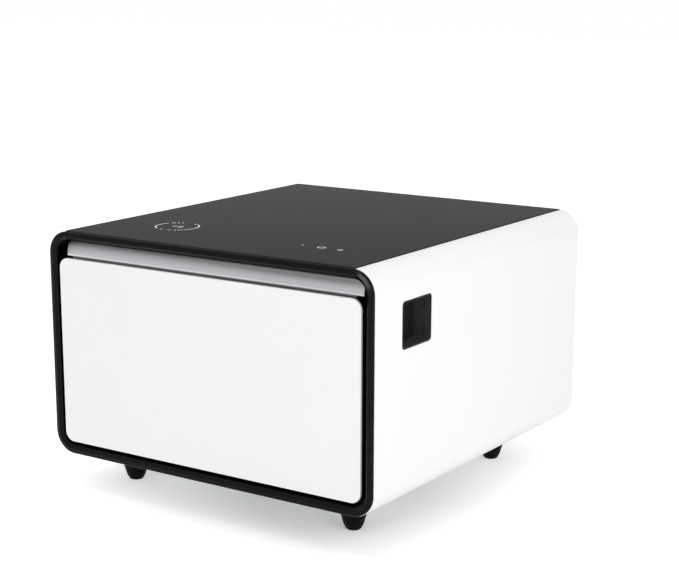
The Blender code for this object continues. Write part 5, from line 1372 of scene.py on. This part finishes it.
# The compressor's foot plate: its height above the compressor's lowest point, its sheet, half its
# depth, and its corners
PLATE_RISE = 0.006
PLATE_SHEET = 0.003
PLATE_DEPTH_HALF = 0.049
PLATE_CORNER = 0.012
# Grid of a dome, of the bead and of a fan blade
DOME_ROWS = 15
BEAD_ROWS = 9
BLADE_GRID = (15, 13)
# The fan's hub, its edges, and the gap round the blades' tips
HUB_RADIUS = 0.019
HUB_ROUNDS = (0, 0.003, 0.001, 0)
TIP_GAP = 0.0004
# A blade: where it starts as a share of the hub's radius, half its chord, what share of that the
# foot has and what share the tip adds, the pitch at its foot and its fall to the tip in degrees,
# the sweep in radians, the camber, and how much thinner its edges are
BLADE_FOOT_SHARE = 0.85
BLADE_CHORD = 0.0125
BLADE_CHORD_SHARES = (0.8, 0.25)
BLADE_PITCH = (42, 14)
BLADE_SWEEP = 0.30
BLADE_SWEEP_POWER = 1.5
BLADE_CAMBER = 0.0016
BLADE_THIN_SHARE = 0.7
# Round edges of the machine room's plain pieces
GROMMET_EDGE = 0.0006
BOX_EDGES = {"fan_housing": 0.0005, "start_relay": 0.0015, "power_supply": 0.0004,
             "control_box": 0.0006, "control_board": CLEARANCE / 2,
             "charger_board": CLEARANCE / 2, "touch_board": CLEARANCE / 2}


class TABLE_OT_machine_room(Step, bpy.types.Operator):
    """Make the compressor, the cooling pipes, the fan and the electric boxes"""
    bl_idname = "cooler_table.machine_room"
    bl_label = "Machine room"

    def execute(self, context):
        sizes = context.scene.table_sizes
        self.make_compressor(sizes)
        self.make_fan_rotor(sizes)
        soften(0, "condenser_coil", "suction_pipe", "discharge_pipe", "filter_drier")
        soften(GROMMET_EDGE, *("compressor_grommet_%d" % number for number in range(1, 5)))
        for node, edge in BOX_EDGES.items():
            soften(edge, node)
        soften(CLEARANCE, "charger_coil", material=litz_winding(context.scene.table_colours))
        return {'FINISHED'}

    def make_compressor(self, sizes):
        """The can: a domed top and a round bottom that meet in a weld bead, on its foot plate."""
        half, middle, low, high = centred("compressor")
        height = high[2] - low[2]
        wall = sizes.can_radius - BEAD_SWELL
        angle = np.radians(np.linspace(0, 90, DOME_ROWS))
        top = np.stack((wall * np.sin(angle),
                        height - sizes.compressor_dome * (1 - np.cos(angle))), -1)
        bottom = np.stack((wall * np.cos(angle), sizes.compressor_bowl * (1 - np.sin(angle))), -1)
        swell = np.radians(np.linspace(-90, 90, BEAD_ROWS))
        bead = np.stack((wall + BEAD_SWELL * np.cos(swell),
                         height * BEAD_SHARE - BEAD_HALF * np.sin(swell)), -1)
        profile = np.concatenate((top, bead, bottom))
        can = turned_rows(profile, (middle[0], middle[1], low[2]), "Z")
        loop = rounded_loops(half[0], PLATE_DEPTH_HALF, PLATE_CORNER, FINE_STEPS)[0] + middle[:2]
        plate_z = low[2] + PLATE_RISE
        plate = prism_rows(loop, "Z", plate_z, plate_z + PLATE_SHEET)
        finished(solid("compressor_can", [(can, False), (plate, False)]), "compressor")

    def make_fan_rotor(self, sizes):
        """The rotor: a hub with a domed cap, and blades that sweep, twist and curve.

        A blade is a grid over the radius and the chord. Its middle line turns with the radius,
        its pitch falls towards the tip, and its camber is a parabola across the chord.
        """
        half, middle, low, high = centred("fan_rotor")
        depth = high[1] - low[1]
        profile = softened(((0, 0), (HUB_RADIUS, 0), (HUB_RADIUS, depth), (0, depth)), HUB_ROUNDS)
        grids = [(turned_rows(profile, (middle[0], low[1], middle[2]), "Y"), False)]
        share = np.linspace(0, 1, BLADE_GRID[0])[:, None]
        chord = np.linspace(-1, 1, BLADE_GRID[1])[None, :]
        foot = HUB_RADIUS * BLADE_FOOT_SHARE
        radius = foot + (half[2] - TIP_GAP - foot) * share
        width = BLADE_CHORD * (BLADE_CHORD_SHARES[0] + BLADE_CHORD_SHARES[1] * share)
        pitch = np.radians(BLADE_PITCH[0] - BLADE_PITCH[1] * share)
        side = chord * width * np.cos(pitch)
        lean = chord * width * np.sin(pitch) + BLADE_CAMBER * (1 - chord ** 2)
        thin = sizes.blade_thickness * (1 - BLADE_THIN_SHARE * chord ** 2) / 2
        for blade in range(sizes.blades):
            turn = (2 * math.pi * blade / sizes.blades
                    + BLADE_SWEEP * share ** BLADE_SWEEP_POWER + side / radius)
            front, back = (np.stack((middle[0] + radius * np.cos(turn),
                                     middle[1] + np.clip(lean + level, -depth / 2, depth / 2),
                                     middle[2] + radius * np.sin(turn)), -1)
                           for level in (-thin, thin))
            grids.append((np.concatenate((front, back[:, ::-1]), 1), False))
        finished(solid("fan_rotor_blades", grids), "fan_rotor")


STEPS = ("stage", "side_shells", "front_frame", "glass_top", "glass_marks", "back", "base",
         "outlet", "drawer_front", "drawer_inside", "cold_space", "machine_room")


class TABLE_PT_steps(bpy.types.Panel):
    """Lists the steps that finish the table"""
    bl_idname = "TABLE_PT_steps"
    bl_label = "Coffee table"
    bl_space_type = 'VIEW_3D'
    bl_region_type = 'UI'
    bl_category = "Table"

    def draw(self, context):
        for step in STEPS:
            self.layout.operator("cooler_table." + step)
        for group in (context.scene.table_sizes, context.scene.table_colours):
            column = self.layout.column(align=True)
            for name in group.bl_rna.properties.keys():
                if name not in ("rna_type", "name"):
                    column.prop(group, name)


CLASSES = (TableSizes, TableColours, TABLE_OT_stage, TABLE_OT_side_shells, TABLE_OT_front_frame,
           TABLE_OT_glass_top, TABLE_OT_glass_marks, TABLE_OT_back, TABLE_OT_base,
           TABLE_OT_outlet, TABLE_OT_drawer_front, TABLE_OT_drawer_inside, TABLE_OT_cold_space,
           TABLE_OT_machine_room, TABLE_PT_steps)


def register():
    """Register the classes and hang the sizes and colours on the scene."""
    for entry in CLASSES:
        bpy.utils.register_class(entry)
    bpy.types.Scene.table_sizes = PointerProperty(type=TableSizes)
    bpy.types.Scene.table_colours = PointerProperty(type=TableColours)


def unregister():
    """Take the sizes, colours and classes away again."""
    del bpy.types.Scene.table_colours
    del bpy.types.Scene.table_sizes
    for entry in reversed(CLASSES):
        bpy.utils.unregister_class(entry)


def dress_packed_nodes():
    """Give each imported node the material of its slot."""
    for part in frame["record"]["subparts"]:
        mesh = frame["nodes"][part["node"]].data
        mesh.materials.clear()
        mesh.materials.append(finish_of(part["material_slot"]))


def main():
    """Register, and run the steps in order."""
    register()
    dress_packed_nodes()
    for step in STEPS:
        getattr(bpy.ops.cooler_table, step)()


if __name__ == "__main__":
    main()
